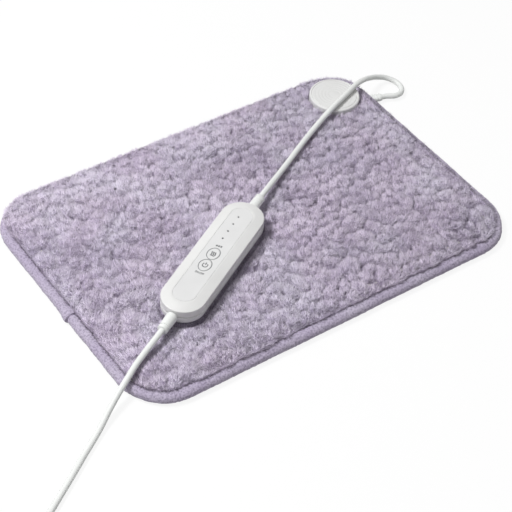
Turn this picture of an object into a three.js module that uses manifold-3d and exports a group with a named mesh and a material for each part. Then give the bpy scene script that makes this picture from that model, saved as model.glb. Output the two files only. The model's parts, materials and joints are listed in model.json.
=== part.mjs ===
// Heating pad with an in-line controller, lying flat on a table. Millimetres, +Z up.
// Origin: middle of the pad, on the surface it lies on. +X runs along the pad's long side.
import * as THREE from 'three';
import { mergeVertices } from 'three/addons/utils/BufferGeometryUtils.js';
import Module from 'manifold-3d';

const wasm = await Module();
wasm.setup();

// Clearances that all pieces share
const seatGap = 0.3;
const overrun = 1;
const floorGap = 0.05;
const weldDistance = 1e-4;

// Pad
const padLength = 400;
const padWidth = 270;
const padCornerRadius = 44;
const padHeight = 16;
const padCornerSteps = 8;

// Edge binding: a folded strip with a round outer edge
const bindingLift = 0.2;
const bindingHeight = 9;
const bindingFlap = 8;
const bindingBulge = 4;
const bindingThickness = 1.2;
const bindingBulgeSteps = 6;

// Cloth covers, their hems inside the binding, and the crown of the pile
const hemInset = 3.8;
const hemThickness = 1.2;
const bottomCoverThickness = 1.6;
const pileThickness = 5.3;
const crownRun = 30;
const crownRunShares = [0, 0.09, 0.23, 0.45, 0.72, 1];
const crownRiseShares = [0, 0.4, 0.7, 0.88, 0.97, 1];
const hemRamp = 7;

// Padding, carrier sheet and heating wire between the covers
const lowerPaddingThickness = 2.5;
const lowerPaddingInset = 10.5;
const elementSheetThickness = 0.6;
const elementSheetInset = 14;
const upperPaddingInset = 16;
const couplingMargin = 4.5;
const heatingWireDiameter = 2;
const heatingWireRows = 10;
const heatingWireMargin = 35;
const heatingWireSides = 6;
const heatingTurnSteps = 6;
const cutoutLength = 14;
const cutoutWidth = 6;
const cutoutHeight = 3.6;

// Cord coupling in the pad's far corner
const couplingFromEnd = 38;
const couplingFromSide = 38;
const couplingPlace = [padLength / 2 - couplingFromEnd, padWidth / 2 - couplingFromSide];
const couplingHeading = -16;
const couplingCoverRadius = 24.5;
const couplingCoverTop = 18.6;
const couplingCoverDome = 0.4;
const couplingCoverWall = 3;
const couplingCoverRoof = 2;
const couplingRimRound = 1.8;
const couplingSides = 36;
const couplingBootSteps = 5;
const couplingGrooveInset = 2.4;
const couplingGrooveWidth = 1;
const couplingGrooveDepth = 0.4;
const couplingBaseRadius = 22.5;
const couplingBaseTop = 10.1;
const couplingBaseWall = 2;
const couplingBaseFloor = 1.6;
const couplingScrewCircle = 14;
const couplingScrewAngles = [90, 210, 330];
const terminalLength = 16;
const terminalWidth = 9;
const terminalHeight = 4.6;
const terminalSlot = 2.4;
const couplingBootAxis = 5;
const couplingBootClearance = 0.35;
const couplingBootEnd = 51;
const couplingBootHalfHeight = 3;
const couplingBootHalfWidth = 5;
const couplingBootTipHalfWidth = 4;
const couplingFlangeThickness = 1.6;
const couplingFlangeLip = 1.1;

// Controller: a long housing with round ends in two shells
const controllerPlace = [-68.4, -34];
const controllerHeading = 28.8;
const controllerLength = 146.6;
const controllerWidth = 39;
const controllerHeight = 16.3;
const shellEdgeHeight = 13.8;
const shellWall = 2;
const shellFloor = 2;
const shellRoof = 2;
const shellTopRound = 1.5;
const shellBottomRound = 3;
const shellInnerRound = 0.6;
const shellRoundSteps = 3;
const shellEndSteps = 8;
const topFlatInset = 9;
const partingHeight = 7;
const lipThickness = 0.8;
const lipHeight = 1.35;
const lipFoot = 1.6;

// Face panel, keys and lamps
const panelEndInset = 11.05;
const panelLength = controllerLength - 2 * panelEndInset;
const panelWidth = 20;
const panelThickness = 0.8;
const keyLength = 14;
const keyWidth = 12.2;
const keyClearance = 0.25;
const keyProud = 0.15;
const keyDish = 0.15;
const keyEdgeRound = 0.4;
const keyFlangeThickness = 1.3;
const keyFlangeLength = 14.9;
const keyFlangeWidth = 15.2;
const keyStemDiameter = 4.4;
const keyStemLength = 0.3;
const keyTravel = 0.6;
const keySides = 28;
const powerKeyPlace = -16.3;
const heatKeyPlace = -0.9;
const lampCount = 4;
const lampFromKey = 20.8;
const lampFromPanelEnd = 12.05;
const firstLamp = heatKeyPlace + lampFromKey;
const lastLamp = panelLength / 2 - lampFromPanelEnd;
const lampPlaces = Array.from({ length: lampCount }, (_, lamp) => (
  firstLamp + ((lastLamp - firstLamp) * lamp) / (lampCount - 1)
));
const lampOffset = 1.8;
const lampTipDiameter = 1.2;
const lampLegDiameter = 2.4;
const lampBarWidth = 4;
const lampBarThickness = 1.2;

// Circuit board and what is on it
const boardEndInset = 19.3;
const boardLength = controllerLength - 2 * boardEndInset;
const boardWidth = 30;
const boardThickness = 1.6;
const boardCornerRadius = 6;
const boardLift = 2.6;
const boardPostDiameter = 3.6;
const boardPostFromEnd = 12;
const boardPostPlace = [boardLength / 2 - boardPostFromEnd, 12];
const switchSide = 6;
const switchHeight = 3.3;
const plungerDiameter = 3.4;
const lampBodyLength = 3;
const lampBodyWidth = 2;
const lampBodyHeight = 1.4;
const filmCapacitorSize = [13, 6, 6];
const filmCapacitorRunShare = -34 / 54;
const filmCapacitorPlace = [filmCapacitorRunShare * (boardLength / 2), 5];
const filmCapacitorRound = 1;
const smoothingDiameter = 6.2;
const smoothingLength = 11;
const smoothingCrimp = 0.4;
const smoothingRunShare = 34 / 54;
const smoothingPlace = [smoothingRunShare * (boardLength / 2), -8.5];
const triacSize = [10, 9, 4.2];
const triacTab = [6, 9, 1.3];
const triacRunShare = -31 / 54;
const triacPlace = [triacRunShare * (boardLength / 2), -7.5];
const fuseDiameter = 5.4;
const fuseCap = 4;
const fuseGlassDiameter = 4.8;
const fuseLength = 15;
const fuseRunShare = 15 / 54;
const fusePlace = [fuseRunShare * (boardLength / 2), -10.4];
const chipSize = [10, 4, 1.6];
const chipPlace = [6, 10];

// Case screws
const caseScrewFromEnd = 13.3;
const caseScrewPlace = [controllerLength / 2 - caseScrewFromEnd, 8.5];
const caseBossDiameter = 6.4;
const casePostDiameter = 7.2;
const screwHeadDiameter = 5.2;
const screwHeadHeight = 1.6;
const screwShankDiameter = 2.4;
const screwClearance = 0.3;
const screwHeadDepth = 0.6;
const screwBite = 4;
const screwSides = 12;

// Cord, strain reliefs and inner leads
const cordDiameter = 5.3;
const cordSides = 8;
const bootLength = 18;
const bootCollarDiameter = 10;
const bootNeckDiameter = 6.8;
const bootFlangeDiameter = 8.4;
const bootFlangeThickness = 1.6;
const bootCollarLength = 5.5;
const bootGrooveDepth = 0.5;
const bootGrooveWidth = 1.4;
const bootGrooves = 3;
const bootTipDiameter = 8;
const bootSides = 16;
const coreDiameter = 1.8;
const coreSides = 6;
const coreSpread = 1.5;
// Places of each core's middle: how far in from the housing's end, how far aside and how high
const corePlaces = [[7.3, 1.5, 7.1], [13.3, 2.4, 7.6], [20.3, 5.8, 7.5], [24.8, 7.2, 7.4], [27.8, 7.6, 7.4]];
const coreSteps = 12;

// Coil of the mains lead, its tie and the plug
const coilPlace = [-330, -233];
const coilMeanDiameter = 61;
const coilTurns = 9 + 1 / 3;
const coilLayers = 4;
const coilGap = 0.55;
const coilStart = 123.5;
const coilSidesPerTube = 6;
const coilStepsPerTurn = 24;
const tieAngle = 303.5;
const tieWidth = 8;
const tieThickness = 1;
const tieClearance = 0.5;
const tieCornerRadius = 3;
const plugBodyLength = 35;
const plugThickness = 13.7;
const plugWidth = 35.3;
const plugRearWidth = 13;
const plugRearThickness = 11;
const plugCornerRadius = 5;
const plugRunShares = [0, 0.1, 0.3, 0.55, 0.8, 0.96, 1];
const plugWidthShares = [0.0, 0.1, 0.5, 0.9, 1, 1, 0.96];
const plugBootLength = 24;
const pinDiameter = 4;
const pinLength = 19;
const pinSpacing = 18.6;
const pinTip = 1.2;
const pinSides = 16;

// Free cord routes: places that the cord's middle passes through
const padLeadPlaces = [
  [58.9, 36.6, 19.3], [85.2, 51, 19], [108.3, 63, 19], [131.3, 73.6, 20], [146, 79.2, 21.8],
  [167.9, 87.8, 22.1], [186, 95, 22.1], [199.5, 99.6, 19.6], [211.5, 103.4, 14.8],
  [222.8, 105.2, 10], [233, 103.2, 6.4], [239.6, 96, 4], [240, 87.6, 3.2], [234, 79.8, 3.6],
  [225, 77.8, 4.6],
];
const mainsLeadPlaces = [
  [-166.5, -86.4, 21], [-183.6, -94.4, 17.9], [-197, -101.6, 14.3], [-209.3, -108.2, 10.4],
  [-222, -115.8, 6.4], [-231.5, -122.2, 4], [-241, -128.6, 2.9], [-256, -138.4, 2.7],
  [-276, -152, 2.7], [-298, -166.6, 2.7], [-320, -181, 2.7],
];
const tailPlaces = [[-327, -278.5, 17.5], [-312, -286, 10], [-297, -293.4, 6.9], [-285, -299.2, 6.9]];
const padLeadSteps = 56;
const mainsLeadSteps = 26;
const tailSteps = 10;
const plugPlace = [-246, -318.2];
const plugHeading = -26;

const heading = THREE.MathUtils.degToRad;

// Finishes
const finish = {
  pile: new THREE.MeshStandardMaterial({ color: '#b9b0c6', roughness: 1, metalness: 0 }),
  backing: new THREE.MeshStandardMaterial({ color: '#b2a8c0', roughness: 0.95, metalness: 0 }),
  binding: new THREE.MeshStandardMaterial({ color: '#a79cb8', roughness: 0.9, metalness: 0 }),
  felt: new THREE.MeshStandardMaterial({ color: '#e9e7e2', roughness: 1, metalness: 0 }),
  silicone: new THREE.MeshStandardMaterial({ color: '#d8d3c8', roughness: 0.6, metalness: 0 }),
  shell: new THREE.MeshStandardMaterial({ color: '#ebebea', roughness: 0.42, metalness: 0 }),
  panel: new THREE.MeshStandardMaterial({ color: '#e9e9e9', roughness: 0.35, metalness: 0 }),
  key: new THREE.MeshStandardMaterial({ color: '#ededed', roughness: 0.45, metalness: 0 }),
  cord: new THREE.MeshStandardMaterial({ color: '#e6e8e4', roughness: 0.5, metalness: 0 }),
  smoke: new THREE.MeshStandardMaterial({ color: '#55575a', roughness: 0.3, metalness: 0 }),
  board: new THREE.MeshStandardMaterial({ color: '#2f6b45', roughness: 0.5, metalness: 0 }),
  black: new THREE.MeshStandardMaterial({ color: '#222326', roughness: 0.5, metalness: 0 }),
  blue: new THREE.MeshStandardMaterial({ color: '#35558c', roughness: 0.4, metalness: 0 }),
  steel: new THREE.MeshStandardMaterial({ color: '#b9bbbf', roughness: 0.3, metalness: 1 }),
  copper: new THREE.MeshStandardMaterial({ color: '#c8743c', roughness: 0.4, metalness: 1 }),
  tie: new THREE.MeshStandardMaterial({ color: '#dcdcdc', roughness: 0.8, metalness: 0 }),
};

// Geometry helpers

function facingOut(geometry) {
  const place = geometry.attributes.position;
  const index = Array.from(geometry.index.array);
  const a = new THREE.Vector3();
  const b = new THREE.Vector3();
  const c = new THREE.Vector3();
  const kept = [];
  let volume = 0;
  for (let i = 0; i < index.length; i += 3) {
    const [p, q, r] = index.slice(i, i + 3);
    if (p !== q && q !== r && r !== p) {
      a.fromBufferAttribute(place, p);
      b.fromBufferAttribute(place, q);
      c.fromBufferAttribute(place, r);
      volume += a.dot(b.cross(c));
      kept.push(p, q, r);
    }
  }
  if (volume < 0) kept.reverse();
  geometry.setIndex(kept);
  return geometry;
}

function welded(geometry) {
  const bare = geometry.index ? geometry.toNonIndexed() : geometry.clone();
  bare.deleteAttribute('normal');
  bare.deleteAttribute('uv');
  return facingOut(mergeVertices(bare, weldDistance));
}

function toSolid(geometry) {
  const clean = welded(geometry);
  return new wasm.Manifold(new wasm.Mesh({
    numProp: 3,
    vertProperties: new Float32Array(clean.attributes.position.array),
    triVerts: new Uint32Array(clean.index.array),
  }));
}

function fromSolid(solid) {
  const mesh = solid.getMesh();
  const geometry = new THREE.BufferGeometry();
  geometry.setAttribute('position', new THREE.BufferAttribute(mesh.vertProperties, 3));
  geometry.setIndex(new THREE.BufferAttribute(mesh.triVerts, 1));
  return geometry;
}

function cut(geometry, tools) {
  return fromSolid(tools.reduce((solid, tool) => solid.subtract(toSolid(tool)), toSolid(geometry)));
}

function joined(geometry, others) {
  return fromSolid(others.reduce((solid, other) => solid.add(toSolid(other)), toSolid(geometry)));
}

// Outlines, counter-clockwise

function roundedOutline(length, width, radius, cornerSteps) {
  const corners = [[1, -1, -90], [1, 1, 0], [-1, 1, 90], [-1, -1, 180]];
  const points = corners.flatMap(([sideX, sideY, from]) => (
    Array.from({ length: cornerSteps + 1 }, (_, step) => {
      const angle = heading(from + (90 * step) / cornerSteps);
      return new THREE.Vector2(
        sideX * (length / 2 - radius) + radius * Math.cos(angle),
        sideY * (width / 2 - radius) + radius * Math.sin(angle),
      );
    })
  ));
  return points.filter((point, i) => (
    point.distanceTo(points[(i + 1) % points.length]) > weldDistance
  ));
}

function ovalOutline(length, width, sides) {
  return Array.from({ length: sides }, (_, side) => {
    const angle = heading((360 * side) / sides);
    return new THREE.Vector2((length / 2) * Math.cos(angle), (width / 2) * Math.sin(angle));
  });
}

const padOutline = (inset) => roundedOutline(
  padLength - 2 * inset,
  padWidth - 2 * inset,
  padCornerRadius - inset,
  padCornerSteps,
);

const controllerOutline = (inset) => roundedOutline(
  controllerLength - 2 * inset,
  controllerWidth - 2 * inset,
  controllerWidth / 2 - inset,
  shellEndSteps,
);

const longRound = (length, width) => roundedOutline(length, width, width / 2, shellEndSteps);

// A skin over a pile of outlines, each at its own height; a ring joins the last to the first
function skin(levels, ring = false) {
  const count = levels[0].outline.length;
  const positions = levels.flatMap(({ outline, height }) => (
    outline.flatMap((point) => [point.x, point.y, height])
  ));
  const index = [];
  const bands = ring ? levels.length : levels.length - 1;
  for (let band = 0; band < bands; band += 1) {
    const low = band * count;
    const high = ((band + 1) % levels.length) * count;
    for (let i = 0; i < count; i += 1) {
      const j = (i + 1) % count;
      index.push(low + i, low + j, high + j, low + i, high + j, high + i);
    }
  }
  if (!ring) {
    const top = (levels.length - 1) * count;
    THREE.ShapeUtils.triangulateShape(levels[0].outline, []).forEach(([a, b, c]) => {
      index.push(c, b, a);
    });
    THREE.ShapeUtils.triangulateShape(levels.at(-1).outline, []).forEach(([a, b, c]) => {
      index.push(top + a, top + b, top + c);
    });
  }
  const geometry = new THREE.BufferGeometry();
  geometry.setAttribute('position', new THREE.Float32BufferAttribute(positions, 3));
  geometry.setIndex(index);
  return facingOut(geometry);
}

const padSkin = (profile, ring = false) => skin(
  profile.map(([inset, height]) => ({ outline: padOutline(inset), height })),
  ring,
);

const controllerSkin = (profile) => skin(
  profile.map(([inset, height]) => ({ outline: controllerOutline(inset), height })),
);

function slab(outline, bottom, top) {
  return skin([{ outline, height: bottom }, { outline, height: top }]);
}

function block(length, width, bottom, top) {
  return new THREE.BoxGeometry(length, width, top - bottom).translate(0, 0, (top + bottom) / 2);
}

// A revolved piece standing on Z, from its profile of radius and height
function turned(profile, sides) {
  const points = profile.map(([radius, height]) => new THREE.Vector2(radius, height));
  return welded(new THREE.LatheGeometry(points, sides).rotateX(Math.PI / 2));
}

function rod(diameter, bottom, top, sides = screwSides) {
  return turned([[0, bottom], [diameter / 2, bottom], [diameter / 2, top], [0, top]], sides);
}

const alongX = (geometry) => geometry.rotateY(Math.PI / 2);

// A path that stops exactly at each of its points, so that a tube gets one ring at each
class Route extends THREE.Curve {
  constructor(points) {
    super();
    this.points = points;
  }

  getPoint(share, target = new THREE.Vector3()) {
    const last = this.points.length - 1;
    return target.copy(this.points[Math.round(share * last)]);
  }

  getPointAt(share, target) {
    return this.getPoint(share, target);
  }

  getTangent(share, target = new THREE.Vector3()) {
    const last = this.points.length - 1;
    const i = Math.round(share * last);
    const here = this.points[i];
    target.set(0, 0, 0);
    if (i > 0) target.add(here.clone().sub(this.points[i - 1]).normalize());
    if (i < last) target.add(this.points[i + 1].clone().sub(here).normalize());
    return target.normalize();
  }

  getTangentAt(share, target) {
    return this.getTangent(share, target);
  }
}

function tube(points, diameter, sides) {
  const section = new THREE.Shape(ovalOutline(diameter, diameter, sides));
  return welded(new THREE.ExtrudeGeometry(section, {
    steps: points.length - 1,
    extrudePath: new Route(points),
  }));
}

function smoothPoints(points, steps) {
  return new THREE.CatmullRomCurve3(points, false, 'centripetal').getSpacedPoints(steps);
}

const spot = ([x, y, z]) => new THREE.Vector3(x, y, z);

// Scene

const model = new THREE.Group();

function part(name, material, geometry, parent = model) {
  const mesh = new THREE.Mesh(welded(geometry), material);
  mesh.name = name;
  parent.add(mesh);
  return mesh;
}

// Levels of the pad's layers

const bindingMiddle = bindingLift + bindingHeight / 2;
const lowerPaddingBottom = bottomCoverThickness + seatGap;
const elementBottom = lowerPaddingBottom + lowerPaddingThickness + seatGap;
const wireMiddle = elementBottom + elementSheetThickness + seatGap + heatingWireDiameter / 2;
const upperPaddingBottom = wireMiddle + heatingWireDiameter / 2 + seatGap;
const pileBottom = padHeight - pileThickness;
const upperPaddingTop = pileBottom - seatGap;
const hemTop = bindingLift + bindingHeight - bindingThickness - seatGap;
const hemBottom = bindingLift + bindingThickness + seatGap;

// Coupling frame and the room that it takes in the pad

const coupling = new THREE.Group();
coupling.position.set(couplingPlace[0], couplingPlace[1], 0);
coupling.rotation.z = heading(couplingHeading);
coupling.updateMatrix();
model.add(coupling);

const inPad = (geometry) => geometry.applyMatrix4(coupling.matrix);
const couplingBaseBottom = lowerPaddingBottom;
const couplingFlangeEnd = couplingBaseRadius - couplingBaseWall - seatGap;

function couplingRoom(margin = seatGap) {
  const step = couplingBaseTop + seatGap;
  const roomProfile = [
    [0, couplingBaseBottom - seatGap],
    [couplingBaseRadius + margin, couplingBaseBottom - seatGap],
    [couplingBaseRadius + margin, step],
    [couplingCoverRadius + seatGap, step],
    [couplingCoverRadius + seatGap, couplingCoverTop + overrun],
    [0, couplingCoverTop + overrun],
  ];
  return inPad(turned(roomProfile, couplingSides));
}

function bootTunnel() {
  const halfHeight = couplingBootHalfHeight + couplingBootClearance;
  const width = 2 * (couplingBootHalfWidth + couplingBootClearance);
  const tunnel = slab(
    roundedOutline(2 * halfHeight, width, halfHeight, couplingBootSteps),
    0,
    couplingBootEnd + overrun,
  );
  return inPad(alongX(tunnel).translate(0, 0, couplingBootAxis));
}

// Pad

function topCover() {
  const crownStart = bindingFlap + seatGap;
  const crownFoot = bindingLift + bindingHeight - seatGap;
  const crown = crownRunShares.map((share, i) => [
    crownStart + crownRun * share,
    crownFoot + (padHeight - crownFoot) * crownRiseShares[i],
  ]).reverse();
  const cloth = padSkin([
    ...crown,
    [crownStart, hemTop],
    [hemInset, hemTop],
    [hemInset, hemTop - hemThickness],
    [bindingFlap, hemTop - hemThickness],
    [bindingFlap + hemRamp, pileBottom],
    [crownStart + crownRun, pileBottom],
  ]);
  return cut(cloth, [couplingRoom(), bootTunnel()]);
}

function bottomCover() {
  const step = bindingFlap + seatGap;
  const foot = step + (hemBottom + hemThickness - bottomCoverThickness);
  const cloth = padSkin([
    [lowerPaddingInset, bottomCoverThickness],
    [foot, bottomCoverThickness],
    [bindingFlap, hemBottom + hemThickness],
    [hemInset, hemBottom + hemThickness],
    [hemInset, hemBottom],
    [step, hemBottom],
    [foot, 0],
    [lowerPaddingInset, 0],
  ]);
  return cut(cloth, [bootTunnel()]);
}

function edgeBinding() {
  const arc = (run, rise, inset) => Array.from({ length: bindingBulgeSteps + 1 }, (_, step) => {
    const angle = heading(90 - (180 * step) / bindingBulgeSteps);
    return [inset + run * (1 - Math.cos(angle)), bindingMiddle + rise * Math.sin(angle)];
  });
  const half = bindingHeight / 2;
  const outer = arc(bindingBulge, half, 0);
  const inner = arc(bindingBulge - bindingThickness, half - bindingThickness, bindingThickness);
  const strip = padSkin([
    [bindingFlap, bindingMiddle + half],
    ...outer,
    [bindingFlap, bindingMiddle - half],
    [bindingFlap, bindingMiddle - half + bindingThickness],
    ...inner.reverse(),
    [bindingFlap, bindingMiddle + half - bindingThickness],
  ], true);
  return cut(strip, [bootTunnel()]);
}

function layer(inset, bottom, top, tools) {
  return cut(padSkin([[inset, bottom], [inset, top]]), tools);
}

// Heating wire: rows along X, out of the coupling at one side and back into it below
const wireStart = [couplingPlace[0] - terminalLength / 2 - 2 * seatGap, couplingPlace[1]];
const wireEnd = [couplingPlace[0], couplingPlace[1] - terminalWidth / 2 - 2 * seatGap];
const rowsTop = wireStart[1];
const rowPitch = (rowsTop + padWidth / 2 - heatingWireMargin) / (heatingWireRows - 1);
const rowLeft = -padLength / 2 + heatingWireMargin + rowPitch / 2;
const rowRight = couplingPlace[0] - couplingBaseRadius - rowPitch;

function heatingWirePoints() {
  const points = [[...wireStart]];
  const turn = rowPitch / 2;
  for (let row = 0; row < heatingWireRows - 1; row += 1) {
    const side = row % 2 === 0 ? -1 : 1;
    const endX = side < 0 ? rowLeft : rowRight;
    const middleY = rowsTop - rowPitch * (row + 1 / 2);
    for (let step = 0; step <= heatingTurnSteps; step += 1) {
      const angle = heading(90 - (180 * step) / heatingTurnSteps);
      points.push([endX + side * turn * Math.cos(angle), middleY + turn * Math.sin(angle)]);
    }
  }
  const lastY = rowsTop - rowPitch * (heatingWireRows - 1);
  for (let step = 0; step <= heatingTurnSteps; step += 1) {
    const angle = heading(-90 + (90 * step) / heatingTurnSteps);
    points.push([
      wireEnd[0] - turn + turn * Math.cos(angle),
      lastY + turn + turn * Math.sin(angle),
    ]);
  }
  points.push([...wireEnd]);
  return points.map(([x, y]) => spot([x, y, wireMiddle]));
}

function cutoutBox(extra) {
  const bottom = elementBottom + elementSheetThickness + seatGap;
  const y = rowsTop - rowPitch * (heatingWireRows / 2 - 1 / 2);
  return block(cutoutLength + 2 * extra, cutoutWidth + 2 * extra, bottom, bottom + cutoutHeight + extra)
    .translate(0, y, 0);
}

part('top_cover', finish.pile, topCover());
part('bottom_cover', finish.backing, bottomCover());
part('edge_binding', finish.binding, edgeBinding());
part('lower_padding', finish.felt, layer(
  lowerPaddingInset,
  lowerPaddingBottom,
  lowerPaddingBottom + lowerPaddingThickness,
  [couplingRoom(), bootTunnel()],
));
part('element_sheet', finish.felt, layer(
  elementSheetInset,
  elementBottom,
  elementBottom + elementSheetThickness,
  [couplingRoom(couplingMargin), bootTunnel()],
));
part('upper_padding', finish.felt, layer(
  upperPaddingInset,
  upperPaddingBottom,
  upperPaddingTop,
  [couplingRoom(couplingMargin), bootTunnel(), cutoutBox(seatGap)],
));
part('heating_wire', finish.silicone, tube(heatingWirePoints(), heatingWireDiameter, heatingWireSides));
part('thermal_cutout', finish.black, cutoutBox(0));

// Coupling

const couplingScrews = couplingScrewAngles.map((angle) => [
  couplingScrewCircle * Math.cos(heading(angle)),
  couplingScrewCircle * Math.sin(heading(angle)),
]);

function screw(length) {
  const head = screwHeadDiameter / 2;
  const shank = screwShankDiameter / 2;
  return turned([
    [0, 0],
    [head, 0],
    [head, screwHeadHeight],
    [shank, screwHeadHeight],
    [shank, length - shank / 2],
    [shank / 2, length],
    [0, length],
  ], screwSides);
}

const screwHole = (bottom, top) => rod(screwShankDiameter + 2 * screwClearance, bottom, top);
const screwHeadHole = (bottom, top) => rod(screwHeadDiameter + 2 * screwClearance, bottom, top);

function couplingCover() {
  const radius = couplingCoverRadius;
  const inner = radius - couplingCoverWall;
  const grooveOut = radius - couplingGrooveInset;
  const grooveIn = grooveOut - couplingGrooveWidth;
  const bottom = couplingBaseTop + seatGap;
  const roof = couplingCoverTop - couplingCoverRoof;
  const roundPoint = (angle) => [
    radius - couplingRimRound * (1 - Math.cos(heading(angle))),
    couplingCoverTop - couplingRimRound * (1 - Math.sin(heading(angle))),
  ];
  const cap = turned([
    [0, roof],
    [inner, roof],
    [inner, bottom],
    [radius, bottom],
    roundPoint(0),
    roundPoint(30),
    roundPoint(60),
    roundPoint(90),
    [grooveOut, couplingCoverTop],
    [grooveOut - couplingGrooveWidth / 4, couplingCoverTop - couplingGrooveDepth],
    [grooveIn, couplingCoverTop - couplingGrooveDepth],
    [grooveIn - couplingGrooveWidth / 2, couplingCoverTop],
    [radius / 2, couplingCoverTop + couplingCoverDome * 0.75],
    [0, couplingCoverTop + couplingCoverDome],
  ], couplingSides);
  const bosses = couplingScrews.map(([x, y]) => (
    rod(caseBossDiameter, bottom, roof + couplingCoverRoof / 2).translate(x, y, 0)
  ));
  const holes = couplingScrews.map(([x, y]) => (
    screwHole(bottom - overrun, bottom + screwBite + seatGap).translate(x, y, 0)
  ));
  return cut(joined(cap, bosses), holes);
}

function couplingFlange(extra) {
  const half = couplingBootHalfHeight + extra;
  return roundedOutline(
    2 * half,
    2 * (couplingBootHalfWidth + couplingFlangeLip + extra),
    half,
    couplingBootSteps,
  );
}

function couplingBase() {
  const inner = couplingBaseRadius - couplingBaseWall;
  const floor = couplingBaseBottom + couplingBaseFloor;
  const dish = turned([
    [0, couplingBaseBottom],
    [couplingBaseRadius, couplingBaseBottom],
    [couplingBaseRadius, couplingBaseTop],
    [inner, couplingBaseTop],
    [inner, floor],
    [0, floor],
  ], couplingSides);
  const posts = couplingScrews.map(([x, y]) => (
    rod(casePostDiameter, couplingBaseBottom, couplingBaseTop).translate(x, y, 0)
  ));
  const screwHoles = couplingScrews.flatMap(([x, y]) => [
    screwHole(couplingBaseBottom - overrun, couplingBaseTop + overrun).translate(x, y, 0),
    screwHeadHole(couplingBaseBottom - overrun, couplingHeadSeat + screwHeadHeight)
      .translate(x, y, 0),
  ]);
  const flangeRoom = alongX(slab(
    couplingFlange(seatGap),
    couplingFlangeEnd - couplingFlangeThickness - seatGap,
    couplingFlangeEnd + seatGap,
  )).translate(0, 0, couplingBootAxis);
  const neck = alongX(slab(
    roundedOutline(
      2 * (couplingBootHalfHeight + seatGap),
      2 * (couplingBootHalfWidth + seatGap),
      couplingBootHalfHeight + seatGap,
      couplingBootSteps,
    ),
    couplingFlangeEnd,
    couplingBaseRadius + overrun,
  )).translate(0, 0, couplingBootAxis);
  const turnBack = heading(-couplingHeading);
  const wireHole = (x, y) => {
    const span = Math.hypot(x, y);
    return alongX(rod(heatingWireDiameter + 2 * seatGap, terminalLength / 2, span))
      .rotateZ(Math.atan2(y, x) + turnBack)
      .translate(0, 0, wireMiddle);
  };
  const reach = couplingBaseRadius + overrun;
  return cut(joined(dish, posts), [
    ...screwHoles, flangeRoom, neck, wireHole(-reach, 0), wireHole(0, -reach),
  ]);
}

const couplingHeadSeat = couplingBaseBottom + screwHeadDepth;

function couplingBoot() {
  const section = (halfWidth) => roundedOutline(
    2 * couplingBootHalfHeight,
    2 * halfWidth,
    couplingBootHalfHeight,
    couplingBootSteps,
  );
  const wallOut = couplingFlangeEnd;
  const taper = couplingBootEnd - wallOut;
  return alongX(skin([
    { outline: couplingFlange(0), height: wallOut - couplingFlangeThickness },
    { outline: couplingFlange(0), height: wallOut },
    { outline: section(couplingBootHalfWidth), height: wallOut },
    { outline: section(couplingBootHalfWidth), height: wallOut + taper / 3 },
    { outline: section(couplingBootTipHalfWidth), height: couplingBootEnd },
  ])).translate(0, 0, couplingBootAxis);
}

function terminalBlock() {
  const bottom = couplingBaseBottom + couplingBaseFloor + seatGap;
  const top = bottom + terminalHeight;
  const slot = block(terminalLength + overrun, terminalSlot / 2, top - terminalSlot / 2, top + overrun);
  return cut(block(terminalLength, terminalWidth, bottom, top), [
    slot.clone().translate(0, terminalWidth / 4, 0),
    slot.clone().translate(0, -terminalWidth / 4, 0),
  ]);
}

part('coupling_cover', finish.shell, couplingCover(), coupling);
part('coupling_base', finish.shell, couplingBase(), coupling);
part('coupling_boot', finish.cord, couplingBoot(), coupling);
part('terminal_block', finish.felt, terminalBlock().rotateZ(heading(-couplingHeading)), coupling);
couplingScrews.forEach(([x, y], i) => {
  const length = couplingBaseTop + seatGap + screwBite - couplingHeadSeat;
  part(`coupling_screw_${i + 1}`, finish.steel, screw(length).translate(x, y, couplingHeadSeat), coupling);
});

// Controller frame

const controller = new THREE.Group();
controller.position.set(controllerPlace[0], controllerPlace[1], padHeight + seatGap);
controller.rotation.z = heading(controllerHeading);
controller.updateMatrix();
model.add(controller);

const bootAxis = partingHeight;
const halfLength = controllerLength / 2;
const recessFloor = controllerHeight - panelThickness - seatGap;
const ceiling = recessFloor - shellRoof;
const boardTop = shellFloor + boardLift + boardThickness;
const bothEnds = [-1, 1];
const caseScrews = bothEnds.flatMap((end) => bothEnds.map((side) => [
  end * caseScrewPlace[0],
  side * caseScrewPlace[1],
]));
const keyPlaces = { power: powerKeyPlace, heat: heatKeyPlace };

function bootHoles() {
  const wallInner = halfLength - shellWall;
  const neck = rod(bootNeckDiameter + 2 * seatGap, wallInner - overrun, halfLength + overrun, bootSides);
  const flange = rod(
    bootFlangeDiameter + 2 * seatGap,
    wallInner - bootFlangeThickness - 2 * seatGap - lipThickness,
    wallInner,
    bootSides,
  );
  return bothEnds.flatMap((end) => [neck, flange].map((tool) => (
    alongX(tool.clone()).rotateZ(end < 0 ? Math.PI : 0).translate(0, 0, bootAxis)
  )));
}

function keyHole(place) {
  const clearance = 2 * keyClearance;
  return slab(
    ovalOutline(keyLength + clearance, keyWidth + clearance, keySides),
    ceiling - overrun,
    controllerHeight + overrun,
  ).translate(place, 0, 0);
}

function faceHoles() {
  const lamps = lampPlaces.map((place) => (
    rod(lampTipDiameter + 2 * seatGap, ceiling - overrun, controllerHeight + overrun)
      .translate(place, lampOffset, 0)
  ));
  return [...Object.values(keyPlaces).map(keyHole), ...lamps];
}

function roundCorner(inset, height, radius, from, to) {
  return Array.from({ length: shellRoundSteps + 1 }, (_, step) => {
    const angle = heading(from + ((to - from) * step) / shellRoundSteps);
    return [inset - radius * Math.cos(angle), height + radius * Math.sin(angle)];
  });
}

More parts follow.
